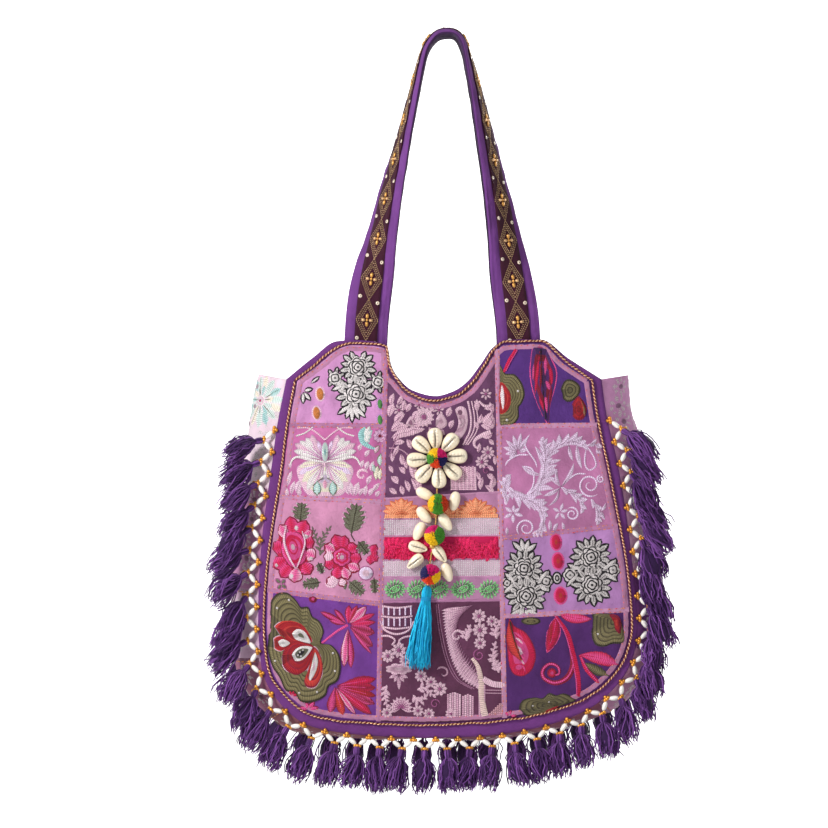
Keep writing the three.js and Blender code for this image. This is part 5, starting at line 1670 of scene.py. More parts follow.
def stitch_magenta(st):
    """A broad lace of looped threads with a waved upper edge."""
    left, right, _, foot = lace_span(st)
    tone, dark = srgb(255, 40, 112), srgb(206, 10, 70)
    r = np.random.default_rng(8)
    st.stroke(np.array([(left, foot + 8), (right, foot + 9)]), 17, dark, height=0.5, across=5, step=3)
    for x in np.arange(left + 9, right + 12, 35.5):
        heart = np.array([x, foot + 4])
        for j in range(13):
            d = heading_of(math.radians(-8 + 196 * j / 12))
            tip = heart + d * np.array([18, 20])
            if left - 1 < tip[0] < right + 1:
                st.blade(heart + 5 * d, tip, 5.4, tone * (0.9 + 0.1 * (j % 2)), dark, bend=1.2, full=0.74,
                         height=1.0)
    for _ in range(330):
        spot = np.array([r.uniform(left, right), r.uniform(foot + 1.0, foot + 18)])
        d = heading_of(r.uniform(0, 2 * math.pi)) * r.uniform(1.6, 3.2)
        st.blade(spot - d, spot + d, 2.2, tone * r.uniform(0.78, 1.12), dark, bend=r.uniform(-1.2, 1.2),
                 height=1.5, lift=r.uniform(0.2, 0.8))


def stitch_green(st):
    """Oval rosettes in a row, each with a slanting loop at its heart."""
    left, right, top, foot = lace_span(st)
    tone, dark = srgb(150, 216, 148), srgb(66, 132, 78)
    middle = (top + foot) / 2
    c, s = heading_of(math.radians(28))
    slant = np.array([[c, s], [-s, c]])
    # place and half width of the rosettes
    for x, half in ((-54, 11), (-32, 10.4), (-10, 10.4), (14, 13), (40, 10.6)):
        heart = np.array([x, middle])
        petals = int(half) + 5
        for j in range(petals):
            d = heading_of(2 * math.pi * j / petals)
            st.blade(heart + d * np.array([4.4, 2]) @ slant, heart + d * np.array([half, 10.2]), 3.3, tone,
                     tone * 0.7, vein=dark, full=0.74, height=1.1)
        a = np.linspace(0, 2 * math.pi, 40)
        oval = np.stack([5 * np.cos(a), 2.4 * np.sin(a)], 1) @ slant
        for share, width in ((1.15, 1.5), (0.55, 1.2)):
            st.stroke(heart + oval * share, width, tone, height=1.7, sink=-0.4)
    st.stroke(np.array([(left, middle), (right, middle)]), 2.0, tone * 0.85, height=0.5, across=4)


MOTIFS = {
    "patch_white_rose": stitch_white_rose, "patch_lotus": stitch_lotus, "patch_pink_rose": stitch_pink_rose,
    "patch_peony": stitch_peony, "patch_vine": stitch_vine, "lace_orange": stitch_orange,
    "lace_silver_upper": stitch_braid, "lace_magenta": stitch_magenta, "lace_silver_lower": stitch_braid,
    "lace_green": stitch_green, "patch_garden": stitch_garden, "patch_bud": stitch_bud,
    "patch_scroll": stitch_scroll, "patch_silver_rose": stitch_silver_rose, "patch_stem": stitch_stem}


def build_embroidery():
    for name, _, _, slot, _ in PATCHES:
        st = Stitcher(on_patch, NETS[name])
        MOTIFS[name](st)
        st.shape.object(name.replace("patch_", "stitches_").replace("lace_", "lacework_"), [THREAD], slot)


# Seams, strips and cord

# step of the lines that running stitches are cut from
FINE = 0.5
STRIP_TONES = srgb(172, 116, 154), srgb(186, 134, 168)
SEAM_TONES = srgb(226, 120, 80), srgb(222, 96, 120), srgb(236, 150, 110)
EDGE_TONES = srgb(228, 128, 84), srgb(222, 100, 116)


def seam_strips():
    """The lines of the strips over the seams, and whether each one is thin."""
    laces = {name for name, *_ in MIDDLE_COLUMN}
    strips = [(np.linspace(np.array(a), np.array(b), 60), name in laces) for name, a, b in ROW_SEAMS]
    for side, seam in (("left", left_seam), ("right", right_seam)):
        top, foot = (float(x) for x in SEAMS[side])
        z = np.linspace(MOUTH_EDGE(np.array([top]))[0], hem_where(0, foot, HEM_LEFT, HEM_RIGHT)[1], 200)
        strips.append((np.stack([seam(z), z], 1), False))
    return strips


def build_seams():
    """Lilac strips over the seams between the patches, sewn down with two rows of running stitches."""
    st = Stitcher(on_patch)
    r = np.random.default_rng(17)
    for i, (strip, thin) in enumerate(seam_strips()):
        st.stroke(strip, 2.6 if thin else 5.8, STRIP_TONES[i % 2], height=0.7, sink=0.2, across=7, step=2)
        if thin:
            continue
        for off in (-1.6, 1.7):
            path = even(strip, FINE)
            d = unit(np.gradient(path, axis=0))
            path = path + np.stack([-d[:, 1], d[:, 0]], 1) * off
            k = 4
            while k < len(path) - 12:
                stitch = path[k:k + r.integers(5, 10)] + r.normal(0, 0.3, 2)
                st.stroke(stitch, 1.15, SEAM_TONES[(k + i) % 3], height=1.15, sink=-0.2, mat=1, across=4,
                          taper=0.2, step=1.2)
                k += r.integers(9, 14)
    st.shape.object("seam_strips", [CLOTH_PRINT, THREAD], "lilac_cloth")


def print_sprig(st, r, across, down, tones, flower):
    """One printed flower or spray near a place of the gusset."""
    light, dark = tones
    heart = np.array([across + r.uniform(-5, 5), down + r.uniform(-4, 4)])
    turn = r.uniform(0, 6.3)
    d = heading_of(turn)
    if flower:
        st.daisy(heart, r.uniform(9, 12), 8, light, dark, turn=turn, width=0.62, height=0.15)
    else:
        st.spray([heart - 9 * d, heart, heart + 9 * d[::-1]], 7, 11, 6.5, light, edge=light * 0.8, lean=46,
                 stem=1.6, height=0.15)


def print_gusset_seam(st, down, tone):
    """The strip over a seam of the gusset, with its running stitches."""
    st.stroke(np.array([(1.0, down), (DEPTH - 1.0, down)]), 4.5, tone, sink=0.2, across=7, step=2)
    for across in np.arange(4, DEPTH - 6, 6.0):
        st.stroke(np.array([(across, down + 1.2), (across + 3.6, down + 1.2)]), 1.1, AMBER, height=1.0,
                  sink=-0.3, across=4, step=0.8)


def print_big_flower(st):
    """The big flower on the pale cloth beside the left mouth corner."""
    st.columns, st.pitch = 5, 2.4
    heart = np.array([24.0, 26.0])
    tones = MINT, TEAL, MINT * 0.9, srgb(240, 226, 206)
    for ring, (reach, petals) in enumerate(((27, 15), (16, 11))):
        for k in range(petals):
            d = heading_of(2 * math.pi * k / petals)
            vein = None if k % 3 else SAGE
            st.blade(heart + 5 * d, heart + reach * d, 11 - 3 * ring, tones[(k + ring) % 4], CREAM,
                     vein=vein, full=0.66, height=0.3, lift=0.2 * ring)
    st.dome(heart, 6, [ROSE, CREAM, BLUSH, CREAM], height=0.4, lift=0.2)


def print_gusset():
    """Flowers and leaves printed on the gusset's cloths, and the seams between the cloths."""
    st = Stitcher(along_gusset)
    st.columns, st.pitch = 3, 3.4
    r = np.random.default_rng(33)
    start = 0.0
    for i, (share, tone) in enumerate(GUSSET_CLOTHS):
        end = float(np.interp(min(share, 1), HEM_SHARES, HEM_RUN))
        light, dark = tone * 0.5 + CREAM * 0.46, tone * 0.6
        for down in np.arange(start + 12, end - 8, 20.0):
            for across in (16, 37, 58, 79):
                print_sprig(st, r, across, down, (light, dark), (i + across) % 2)
        if i:
            print_gusset_seam(st, start, dark + srgb(90, 50, 80) * 0.5)
        start = end
    print_big_flower(st)
    st.shape.object("gusset_print", [THREAD], "gusset_patchwork")


def edge_loop(width):
    """A line outside the patchwork's edge: along the hem, and over the mouth a little lower at the neck."""
    hem = over_hem(np.linspace(0, 1, 700), width)
    mouth = over_mouth(width - 3.0 * np.exp(-((MOUTH[:, 0] + 5) / 40) ** 4))
    top = monotone(np.concatenate([hem[:1], mouth, hem[-1:]]))
    x = np.linspace(hem[0, 0], hem[-1, 0], 4000)
    return hem, np.stack([x, top(x)], 1)


def build_cord():
    """Two plies of gold thread twisted round the patchwork's edge, with painted shade and highlights."""
    step, ply_off, ply_radius, lay = 0.8, 0.6, 0.72, 3.8
    hem, mouth = edge_loop(2.3)
    loop = even(np.concatenate([hem, mouth[::-1]]), step)
    loop[-1] = loop[0]
    along = np.arange(len(loop)) * step
    centre = on_panel(loop[:, 0], loop[:, 1], 1.9)
    centre[:, 2] += 0.5 * ripple(along, 0 * along, 26, 32)
    d = unit(np.gradient(centre, axis=0))
    side = unit(np.cross(d, (0, -1.0, 0)))
    out = np.cross(side, d)
    shape = Shape()
    # the dark ply is the cord's brown and also paints the shade between its turns; the pale ply is its gold
    # and also paints its highlights
    for ply, tone in enumerate((srgb(128, 62, 46), srgb(240, 192, 148))):
        turn = 2 * math.pi * along / lay + ply * math.pi + 0.9 * ripple(along, 0 * along, 9, 31)
        path = centre + ply_off * (side * np.cos(turn)[:, None] + out * np.sin(turn)[:, None])
        shape.tubes(path, ply_radius, 4, tone)
    shape.object("twisted_cord", [GOLD], "gold_cord", "edge_cord")


def topstitch_back():
    """Two rows of running stitches round the back panel."""
    st = Stitcher(on_back)
    r = np.random.default_rng(23)
    for row in (0.0, 3.0):
        for path in (edge_loop(7.0 + row)[0], edge_loop(row - 2.0)[1]):
            path = even(path * np.array([-1, 1]), FINE)
            for k in range(4, len(path) - 10, 10):
                tone = srgb(150, 104, 172) * r.uniform(0.85, 1.1)
                st.stroke(path[k:k + 7], 0.9, tone, height=0.5, sink=-0.1, across=4, taper=0.2, step=1.2)
    st.shape.object("back_topstitch", [THREAD], "purple_cotton")


def build_edge_strip():
    """The lilac strip just inside the cord, with its orange stitches."""
    st = Stitcher(on_patch)
    for path in edge_loop(-3.6):
        path = even(path, FINE)
        st.stroke(path, 6.0, srgb(180, 124, 158), height=0.55, across=7, step=2)
        for count, k in enumerate(range(4, len(path) - 10, 12)):
            d = unit(path[min(k + 7, len(path) - 1)] - path[k])
            off = np.array([-d[1], d[0]]) * 1.3
            st.stroke(path[k:k + 7] + off, 1.1, EDGE_TONES[count % 2], height=1.0, sink=-0.2, mat=1,
                      across=4, taper=0.2, step=1.2)
    st.shape.object("edge_strip", [CLOTH_PRINT, THREAD], "lilac_cloth")


# Straps

class Strap:
    """Frames at even steps along one strap."""

    def __init__(self, out, step=3.0):
        fine = catmull(STRAP, np.linspace(0, 1, 1200))
        y = -mix(STRAP_FOOT_Y, STRAP_CROWN_Y, smooth(STRAP_FOOT_Z, 0, fine[:, 1]))
        path = even(np.stack([fine[:, 0], y, fine[:, 1], fine[:, 2]], 1), step)
        self.centre, self.mirror = path[:, :3], np.array([1, -out, 1.0])
        self.length, self.out = run(self.centre), out
        heading = unit(np.gradient(self.centre, axis=0))
        face = unit(np.array([0, -1.0, 0]) + heading * heading[:, 1:2])
        turn = np.radians(-path[:, 3])[:, None]
        self.face = face * np.cos(turn) + np.cross(heading, face) * np.sin(turn)
        self.across = np.cross(self.face, heading)

    def at(self, s, values):
        return np.stack([np.interp(s, self.length, column) for column in values.T], -1)

    def place(self, s, a, lift=0.0):
        """A point s along the strap, a across it, lift above its face."""
        off = self.at(s, self.across) * np.asarray(a)[..., None]
        rise = self.at(s, self.face) * np.asarray(lift)[..., None]
        return (self.at(s, self.centre) + off + rise) * self.mirror

    def net(self, steps, across):
        """Places along and across the strap, as two grids."""
        return np.meshgrid(np.linspace(0, self.length[-1], steps), across, indexing="ij")


def build_straps():
    """Two padded straps with their ribbons."""
    half, seam, hem = STRAP_WIDTH / 2, TRIM_WIDTH / 2, 19
    for name, out in (("front", -1), ("back", 1)):
        strap = Strap(out)
        s, a = strap.net(250, half * np.sin(np.linspace(-math.pi / 2, math.pi / 2, 26)))
        away = np.abs(a)
        folds = 0.4 * np.sin(1.5 * a + 1.4 * np.sin(s / 43) + 0.8 * np.sin(s / 17))
        folds = folds * smooth(seam, seam + 3, away)
        pad = 0.45 * ripple(s, a * 3, 36, 41) + 0.25 * ripple(s, a * 2, 13, 42) + folds
        sewn = 0.6 + 0.4 * np.sin(2 * math.pi * s / 15)
        crease = -0.55 * np.exp(-((away - hem) / 0.7) ** 2) * sewn
        crease = crease - 0.8 * np.exp(-((away - seam - 0.8) / 0.8) ** 2)
        face = 3.1 * np.sqrt(np.maximum(0, 1 - np.abs(a / half) ** 5))
        inside = np.minimum(1, face / 2)
        shape = Shape()
        # the strap's inner face takes the dark lining cloth: painted shade on its underside
        shape.slab(strap.place(s, a, face + (pad + crease) * inside),
                   strap.place(s, a, -face - pad * inside * 0.5), inner_mat=1, flip=out < 0)
        piece = shape.object("strap_cloth_" + name, [PURPLE, LINING_AND_STRAP_SHADE], "purple_cotton", "strap_" + name)
        build_ribbon(strap, name)
        build_zari(strap, name)


def build_ribbon(strap, name):
    """The dark ribbon along a strap."""
    half = TRIM_WIDTH / 2
    s, a = strap.net(260, np.linspace(-half, half, 7))
    edge = 0.3 * np.exp(-((np.abs(a) - half) / 1.2) ** 2)
    wave = 0.2 * ripple(s, a * 3, 30, 43)
    shape = Shape()
    shape.slab(strap.place(s, a, 3.95 + edge + wave), strap.place(s, a, np.full_like(a, 3.15)),
               srgb(60, 20, 40), flip=strap.out < 0)
    shape.object("ribbon_" + name, [CLOTH_PRINT], "zari_ribbon", "strap_trim_" + name)


def lozenges(strap):
    """Places along a strap of the middles of its gold lozenges, and their pitch."""
    left_foot, right_foot, usual_pitch, margin = -287, -289, 41.5, 6
    z = strap.centre[:, 2]
    half = len(z) // 2
    low = np.interp(left_foot, z[:half], strap.length[:half])
    high = np.interp(-right_foot, -z[half:], strap.length[half:])
    count = int(round((high - low) / usual_pitch))
    pitch = (high - low) / count
    centres = low + pitch * np.arange(-1, count + 2)
    return centres[(centres > margin) & (centres < strap.length[-1] - margin)], pitch


def herringbone(strap, centres, pitch):
    """Place along, place across and turn of each gold stitch of the lozenges' three rows."""
    half, rows = TRIM_WIDTH / 2, []
    for c in centres:
        for row in range(3):
            reach, wide = pitch * (0.5 - 0.09 * row), half * (0.95 - 0.2 * row)
            n = int(math.hypot(reach, wide) / 1.9)
            t = (np.arange(n) + 0.5) / n
            for su, sv in ((1, 1), (1, -1), (-1, 1), (-1, -1)):
                way = math.atan2(sv * wide, -su * reach) + (0.7 if row % 2 else -0.7)
                rows.append(np.stack([c + su * reach * (1 - t), sv * wide * t, np.full(n, way)], 1))
    rows = np.concatenate(rows)
    inside = (rows[:, 0] > 4) & (rows[:, 0] < strap.length[-1] - 4) & (np.abs(rows[:, 1]) < half - 0.3)
    return rows[inside]


# along, across, half length, half width of the beads of a cross: two long ones and a middle, two pale ones
CROSS_BEADS = [(4, 0, 3.0, 1.9), (-4, 0, 3.0, 1.9), (0, 0, 1.5, 1.5)]
PALE_BEADS = [(0, 3.9, 1.9, 2.2), (0, -3.9, 1.9, 2.2)]


def build_zari(strap, name):
    """Lozenges of gold herringbone on a ribbon, a bead cross in each and sequins between them."""
    r = np.random.default_rng(5)
    centres, pitch = lozenges(strap)
    rows = herringbone(strap, centres, pitch)
    gold = Shape()
    stitch_beads(gold, strap, rows[:, :2], rows[:, 2], (1.35, 0.52, 0.4), 4.2, r, (206, 172, 132))
    for beads, tone in ((CROSS_BEADS, (226, 168, 92)), (PALE_BEADS, (226, 184, 136))):
        some = np.array([(c + du, dv, long, wide) for c in centres for du, dv, long, wide in beads])
        stitch_beads(gold, strap, some[:, :2], np.zeros(len(some)), (some[:, 2], some[:, 3], 1.3), 4.9, r,
                     tone)
    gold.object("zari_" + name, [GOLD], "gold_cord")
    mids = (centres[1:] + centres[:-1]) / 2
    spots = np.array([(m + 2.5 * side, side * (TRIM_WIDTH / 2 - 2.4)) for m in mids for side in (-1, 1)])
    flat = np.zeros(len(spots))
    disc = Shape()
    stitch_beads(disc, strap, spots, flat, (2.1, 2.1, 0.5), 4.35, r, (236, 218, 196))
    stitch_beads(disc, strap, spots, flat, (0.8, 0.8, 0.3), 4.8, r, (70, 30, 44))
    disc.object("sequins_" + name, [BEAD], "cowrie_shell")


def stitch_beads(shape, strap, spots, turns, size, lift, r, tone):
    """Small beads or stitches lying on a strap's face, each turned along its own line."""
    s, a = spots[:, 0], spots[:, 1]
    heading = unit(strap.at(s, np.gradient(strap.centre, axis=0))) * strap.mirror
    across, face = strap.at(s, strap.across) * strap.mirror, strap.at(s, strap.face) * strap.mirror
    c, d = np.cos(turns)[:, None], np.sin(turns)[:, None]
    long, wide, high = (np.broadcast_to(np.asarray(v, float), s.shape)[:, None] for v in size)
    axes = np.stack([(heading * c + across * d) * long, (across * c - heading * d) * wide, face * high], 1)
    centres = strap.place(s, a, np.full(len(s), lift))
    tones = srgb(*tone) * r.uniform(0.85, 1.1, (len(s), 1))
    template = ball(4, 6) if np.max(long) > 1.5 else ball(2, 4)
    shape.copies(turned(template) if strap.out > 0 else template, centres, axes, tones)


# Fringe

def hanging(lean, tilt, out):
    """Heading of a tassel that leans to a side and stands off by a tilt."""
    side = np.radians(lean)
    return unit(np.stack([-np.sin(side), out * np.tan(np.radians(tilt)) + 0 * side, -np.cos(side)], -1))


def across_tassel(headings):
    """The two ways square to a tassel's heading."""
    across = unit(np.cross(np.array([0, 1.0, 0]), headings))
    return across, np.cross(headings, across)


def threads(tops, headings, count, profile, seed, depth=1.0, droop=0.0, fuzz=1.0, spread=(0.84, 1.06),
            locks=7):
    """Paths of the threads of many tassels, gathered into locks that wave and curl."""
    r = np.random.default_rng(seed)
    drop, radius = np.array(profile, float).T
    n, steps = len(tops), len(drop)
    across, out = across_tassel(headings)
    neck = 0.24 * drop[-1]
    skirt = np.clip((drop - neck) / (drop[-1] - neck), 0, 1)
    lock = r.integers(0, locks, (n, count))
    pick = np.arange(n)[:, None], lock
    turn = (2 * math.pi * np.arange(locks) / locks + r.normal(0, 0.3, (n, locks)))[pick]
    turn = turn + r.normal(0, 0.4, (n, count))
    inner = np.sqrt(r.uniform(0.1, 1, (n, count)))[..., None]
    long = r.uniform(*spread, (n, count)) * r.uniform(0.93, 1.04, (n, locks))[pick]

    def wave(shape, size, low, high):
        """A swing to both sides that grows down the skirt."""
        cycles, start = r.uniform(low, high, (*shape, 2, 1)), r.uniform(0, 6.3, (*shape, 2, 1))
        swing = np.sin(2 * math.pi * cycles * skirt + start) - np.sin(start)
        return size * r.normal(0, 1, (*shape, 2, 1)) * swing * skirt ** 0.6

    swing = fuzz * (wave((n, locks), 1.2, 0.4, 0.9)[pick] + wave((n, count), 0.8, 1.4, 3.6))
    swing = swing + fuzz * r.normal(0, 0.8, (n, count, 2, 1)) * skirt ** 3
    reach = radius * np.where(skirt > 0, inner, 0.55 + 0.45 * inner)
    spin = turn[..., None] + 0.3 * skirt * r.normal(0, 1, (n, count, 1))
    u = reach * np.cos(spin) + swing[:, :, 0]
    v = (reach * np.sin(spin) + swing[:, :, 1]) * depth
    down = drop * np.where(skirt > 0, long[..., None], 1.0)
    path = tops[:, None, None]
    for way, off in ((headings, down), (across, u), (out, v)):
        path = path + way[:, None, None] * off[..., None]
    lean = np.abs(headings[:, 0])[:, None, None]
    path[..., 2] -= droop * lean * skirt ** 1.6 * (0.6 + 0.8 * r.uniform(0, 1, (n, count, 1)))
    return path.reshape(n * count, steps, 3)


# drop, radius and thread radius down a tassel: knot, head, neck and skirt
TASSEL = np.array([(-0.5, 0.8, 0.5), (3, 2.8, 0.75), (7, 2.8, 0.75), (9.5, 2.3, 0.55), (13.5, 6.2, 0.64),
                   (18.5, 10.2, 0.7), (24.5, 12.1, 0.7), (30.5, 12.5, 0.7), (36.5, 11.9, 0.66),
                   (42, 10.0, 0.5)])
# place down a tassel, half length, half width and sag of its head's core and of its skirt's core
TASSEL_CORES = [(4.2, 5.0, 2.4, 0), (25.5, 14, 9.2, 3.4)]


def fringe_spots(out):
    """Shares of the hem and places where the bead string turns, at its inner and its outer points."""
    fine = np.linspace(0, 1, 4001)
    length = run(panel_edge(fine))
    shares = np.interp(np.linspace(FRINGE_LEFT, length[-1] - FRINGE_RIGHT, 2 * TASSELS + 1), length, fine)
    outer = np.arange(len(shares)) % 2
    x, z = panel_edge(shares, np.where(outer, FRINGE_OUTER, FRINGE_INNER)).T
    if out < 0:
        return shares, np.stack([x, front_y(x, z) - 0.5, z], 1)
    return shares, np.stack([x, back_y(x, z) + 0.5, back_z(z)], 1)


def tassel_headings(count, out):
    i = np.arange(1, count, 2)
    lean = np.interp(i / (count - 1), LEAN[:, 0], LEAN[:, 1])
    stray = np.sin(2.4 * i) + 0.6 * np.sin(5.3 * i + 1)
    lean = lean + (5 + 9 * np.abs(np.sin(np.radians(lean)))) * stray
    return hanging(lean, 9 + 5.0 * (i % 4 == 1), out)


def build_tassels(name, replaces, tops, headings, count, out, r):
    """Tassels of single threads over cores darker than the threads: painted shade inside each tassel."""
    paths = threads(tops, headings, count, TASSEL[:, :2], 70 + out, droop=11, fuzz=1.7)
    shade = r.uniform(0, 1, (len(paths), 1)) ** 1.5
    shape = Shape()
    shape.tubes(paths, TASSEL[:, 2], 3, srgb(60, 26, 82) * (1 - shade) + srgb(132, 80, 160) * shade)
    across, side = across_tassel(headings)
    sag = np.abs(headings[:, :1]) * np.array([0, 0, -1.0])
    for at, long, wide, low in TASSEL_CORES:
        axes = np.stack([across * wide, side * wide, headings * long], 1)
        # the cores are darker than any thread: painted shade inside the tassel
        shape.copies(ball(6, 8), tops + headings * at + sag * low, axes, srgb(46, 20, 64))
    shape.object(name, [FLOSS], "tassel_thread", replaces)


def build_bead_string(name, shares, spots, out, r):
    """Long white beads between the turns of the string, and gold beads at the turns."""
    d = unit(spots[1:] - spots[:-1])
    side = unit(np.cross(d, (0, -1.0, 0)))
    axes = np.stack([side * 2.5, np.cross(d, side) * 2.5, d * 5.2], 1)
    beads = Shape()
    beads.copies(ball(6, 8), (spots[1:] + spots[:-1]) / 2, axes,
                 srgb(244, 240, 234) * r.uniform(0.9, 1.02, (len(d), 1)))
    beads.object("rice_beads_" + name, [BEAD], "cowrie_shell")
    outer = np.arange(len(shares)) % 2 > 0
    away = np.insert(hem_out(shares), 1, 0, axis=1) * np.where(outer, 1.0, -1.0)[:, None]
    along = np.cross(away, (0, 1.0, 0))
    lift = np.array([0, 1.2 * out, 0])
    turns = np.concatenate([spots + lift, spots + along * 2.2, spots - along * 2.2,
                            spots + away * 2.4 + lift * 0.6, (spots + away * 4.4)[outer]])
    gold = Shape()
    gold.copies(ball(4, 6), turns, np.eye(3) * 1.95, srgb(222, 152, 62)
                * r.uniform(0.65, 1.2, (len(turns), 1)))
    gold.tubes(spots, 0.45, 4, srgb(120, 84, 60))
    gold.object("gold_beads_" + name, [GOLD], "gold_cord")


def build_fringe(name, out, count):
    """Tassels on a zigzag string of white beads, with gold beads where it turns."""
    r = np.random.default_rng(60 + out)
    shares, spots = fringe_spots(out)
    headings, tops = tassel_headings(len(spots), out), spots[1::2]
    left, right = np.array_split(np.arange(len(tops)), 2)
    for side, some, replaces in (("left", left, "fringe_" + name), ("right", right, ())):
        build_tassels("tassels_%s_%s" % (name, side), replaces, tops[some], headings[some], count, out, r)
    build_bead_string(name, shares, spots, out, r)


# Cowrie flower and charm

FLOWER_X, FLOWER_Z, FLOWER_RING, FLOWER_FIRST, FLOWER_SHELLS = -12, -425, 19.6, 95, 8
# length, width, thickness and stand of the shells
FLOWER_SHELL, CHARM_SHELL = (21.5, 14.2, 9.6, 6.6), (19.5, 10.8, 9, 6.2)
# x, z, lean and whether the slit faces out
CHARM_SHELLS = [(-24, -461, 62, 0), (5.5, -468, -10, 0), (-25, -482, 40, 0), (-3.5, -489, 32, 0),
                (-30, -498, -25, 0), (-31, -514, 75, 1), (-34, -528.5, -50, 1), (-9, -521, 38, 1),
                (-2, -539, 20, 0)]


def mixed_tone_and_shade(tone, added_tone, share):
    """Tones of a net with another colour mixed in by a share at each point, for a colour of the shell's own
    and for painted shade.
    """
    share = share[..., None]
    return tone * (1 - share) + added_tone * share


def cowrie(slit):
    """A unit cowrie and its tones: long axis on the third axis, outer side on minus the second."""
    rings, sides = 30, 34
    u = np.linspace(0.02, math.pi - 0.02, rings)[:, None]
    v = 2 * math.pi * np.arange(sides)[None] / sides
    radius = 0.5 * np.sin(u) ** 0.85 * (1 + (0.3 if slit else 0.12) * np.cos(u))
    face = -np.cos(v)
    flat = np.where((face < 0) == bool(slit), 0.8, 1.0)
    x, y, z = radius * np.sin(v), radius * face * flat, 0.5 * np.cos(u) + 0 * v
    front = (face < 0) * np.ones_like(z)
    # tan towards the sides, where the shell turns away from the front: painted shade
    tone = mixed_tone_and_shade(srgb(246, 234, 208), srgb(214, 170, 120), 0.28 * (1 - np.abs(face)) * np.ones_like(z))
    if slit:
        mid = x - 0.05 * np.sin(3 * z)
        gap = np.exp(-(mid / 0.045) ** 2) * smooth(0.46, 0.34, np.abs(z)) * front
        lip = np.exp(-((np.abs(mid) - 0.15) / 0.07) ** 2) * smooth(0.45, 0.32, np.abs(z)) * front
        teeth = np.abs(np.sin(z * 2 * math.pi * 6.5))
        y = y + 0.26 * gap - 0.06 * lip * teeth - 0.03 * lip
        # dark brown in the slit and brown between the teeth: painted shade in the opening and in the
        # grooves
        tone = mixed_tone_and_shade(tone, srgb(58, 36, 22), np.clip(gap * 1.25, 0, 1))
        tone = mixed_tone_and_shade(tone, srgb(150, 104, 66), lip * (1 - teeth) * 0.55)
    else:
        ring = np.exp(-((np.sqrt((x / 0.36) ** 2 + (z / 0.36) ** 2) - 0.75) / 0.1) ** 2) * front
        tone = mixed_tone_and_shade(tone, srgb(214, 176, 110), 0.22 * ring)
    points = np.concatenate([np.stack([x, y, z], -1).reshape(-1, 3), [[0, 0, 0.5], [0, 0, -0.5]]])
    tone = np.concatenate([tone.reshape(-1, 3), np.repeat(srgb(236, 216, 184)[None], 2, 0)])
    quads, tris = closed_faces(rings, sides)
    # the faces look the other way than a ball's, and each one still starts at the same corner
    return (points, quads[:, [0, 3, 2, 1]], tris[:, [0, 2, 1]]), tone


def place_shells(name, node_name, rows, size):
    """Shells that stand on the front, each with its own lean."""
    shape = Shape()
    r = np.random.default_rng(len(rows))
    long, wide, thick, stand = size
    for x, z, lean, slit in rows:
        template, tone = cowrie(slit)
        c, s = heading_of(math.radians(lean))
        axes = [[c * wide, 0, s * wide], [0, thick, 0], [-s * long, 0, c * long]]
        shape.copies(template, [over_front(x, z, stand)], axes, (tone * r.uniform(0.9, 1.02))[None])
    shape.object(name, [SHELL], "cowrie_shell", ["%s_%d" % (node_name, i + 1) for i in range(len(rows))])


def build_shells():
    """The shells of the flower, in a ring, and those of the charm."""
    rows = []
    for t in FLOWER_FIRST + np.arange(FLOWER_SHELLS) * 360 / FLOWER_SHELLS:
        x, z = np.array([FLOWER_X, FLOWER_Z]) + FLOWER_RING * heading_of(math.radians(t))
        rows.append((x, z, t - 90, 1))
    place_shells("flower_cowries", "flower_shell", rows, FLOWER_SHELL)
    place_shells("charm_cowries", "charm_shell", CHARM_SHELLS, CHARM_SHELL)


YELLOW, MAGENTA, NAVY = srgb(250, 204, 30), srgb(214, 24, 110), srgb(36, 32, 92)
SCARLET, LEAF = srgb(236, 74, 34), srgb(78, 150, 48)
# name, x, z and stand of each ball of wool, and its colours with the side that each one faces
POMPOMS = [
    ("flower_pompom", FLOWER_X, FLOWER_Z, 11.2,
     [(YELLOW, -0.5, 0.8), (MAGENTA, 0.6, 0.7), (NAVY, 0.8, -0.5), (SCARLET, -0.2, -0.9),
      (LEAF, -0.9, -0.1)]),
    ("charm_pompom_1", -11, -471, 13, [(YELLOW, -0.9, 0.1), (LEAF, -0.05, 0.0), (SCARLET * 0.7, 0.9, 0.1)]),
    ("charm_pompom_2", -14.5, -502, 13, [(MAGENTA, -0.6, 0.8), (YELLOW, -0.4, -0.3), (LEAF, 0.6, 0.0)]),
    ("charm_pompom_3", -18.5, -541, 13,
     [(NAVY, -0.7, 0.2), (MAGENTA, 0.2, 0.5), (YELLOW, 0.7, -0.4), (SCARLET, -0.3, -0.8)])]
POMPOM_THREADS, POMPOM_CORE = 1050, 7.6


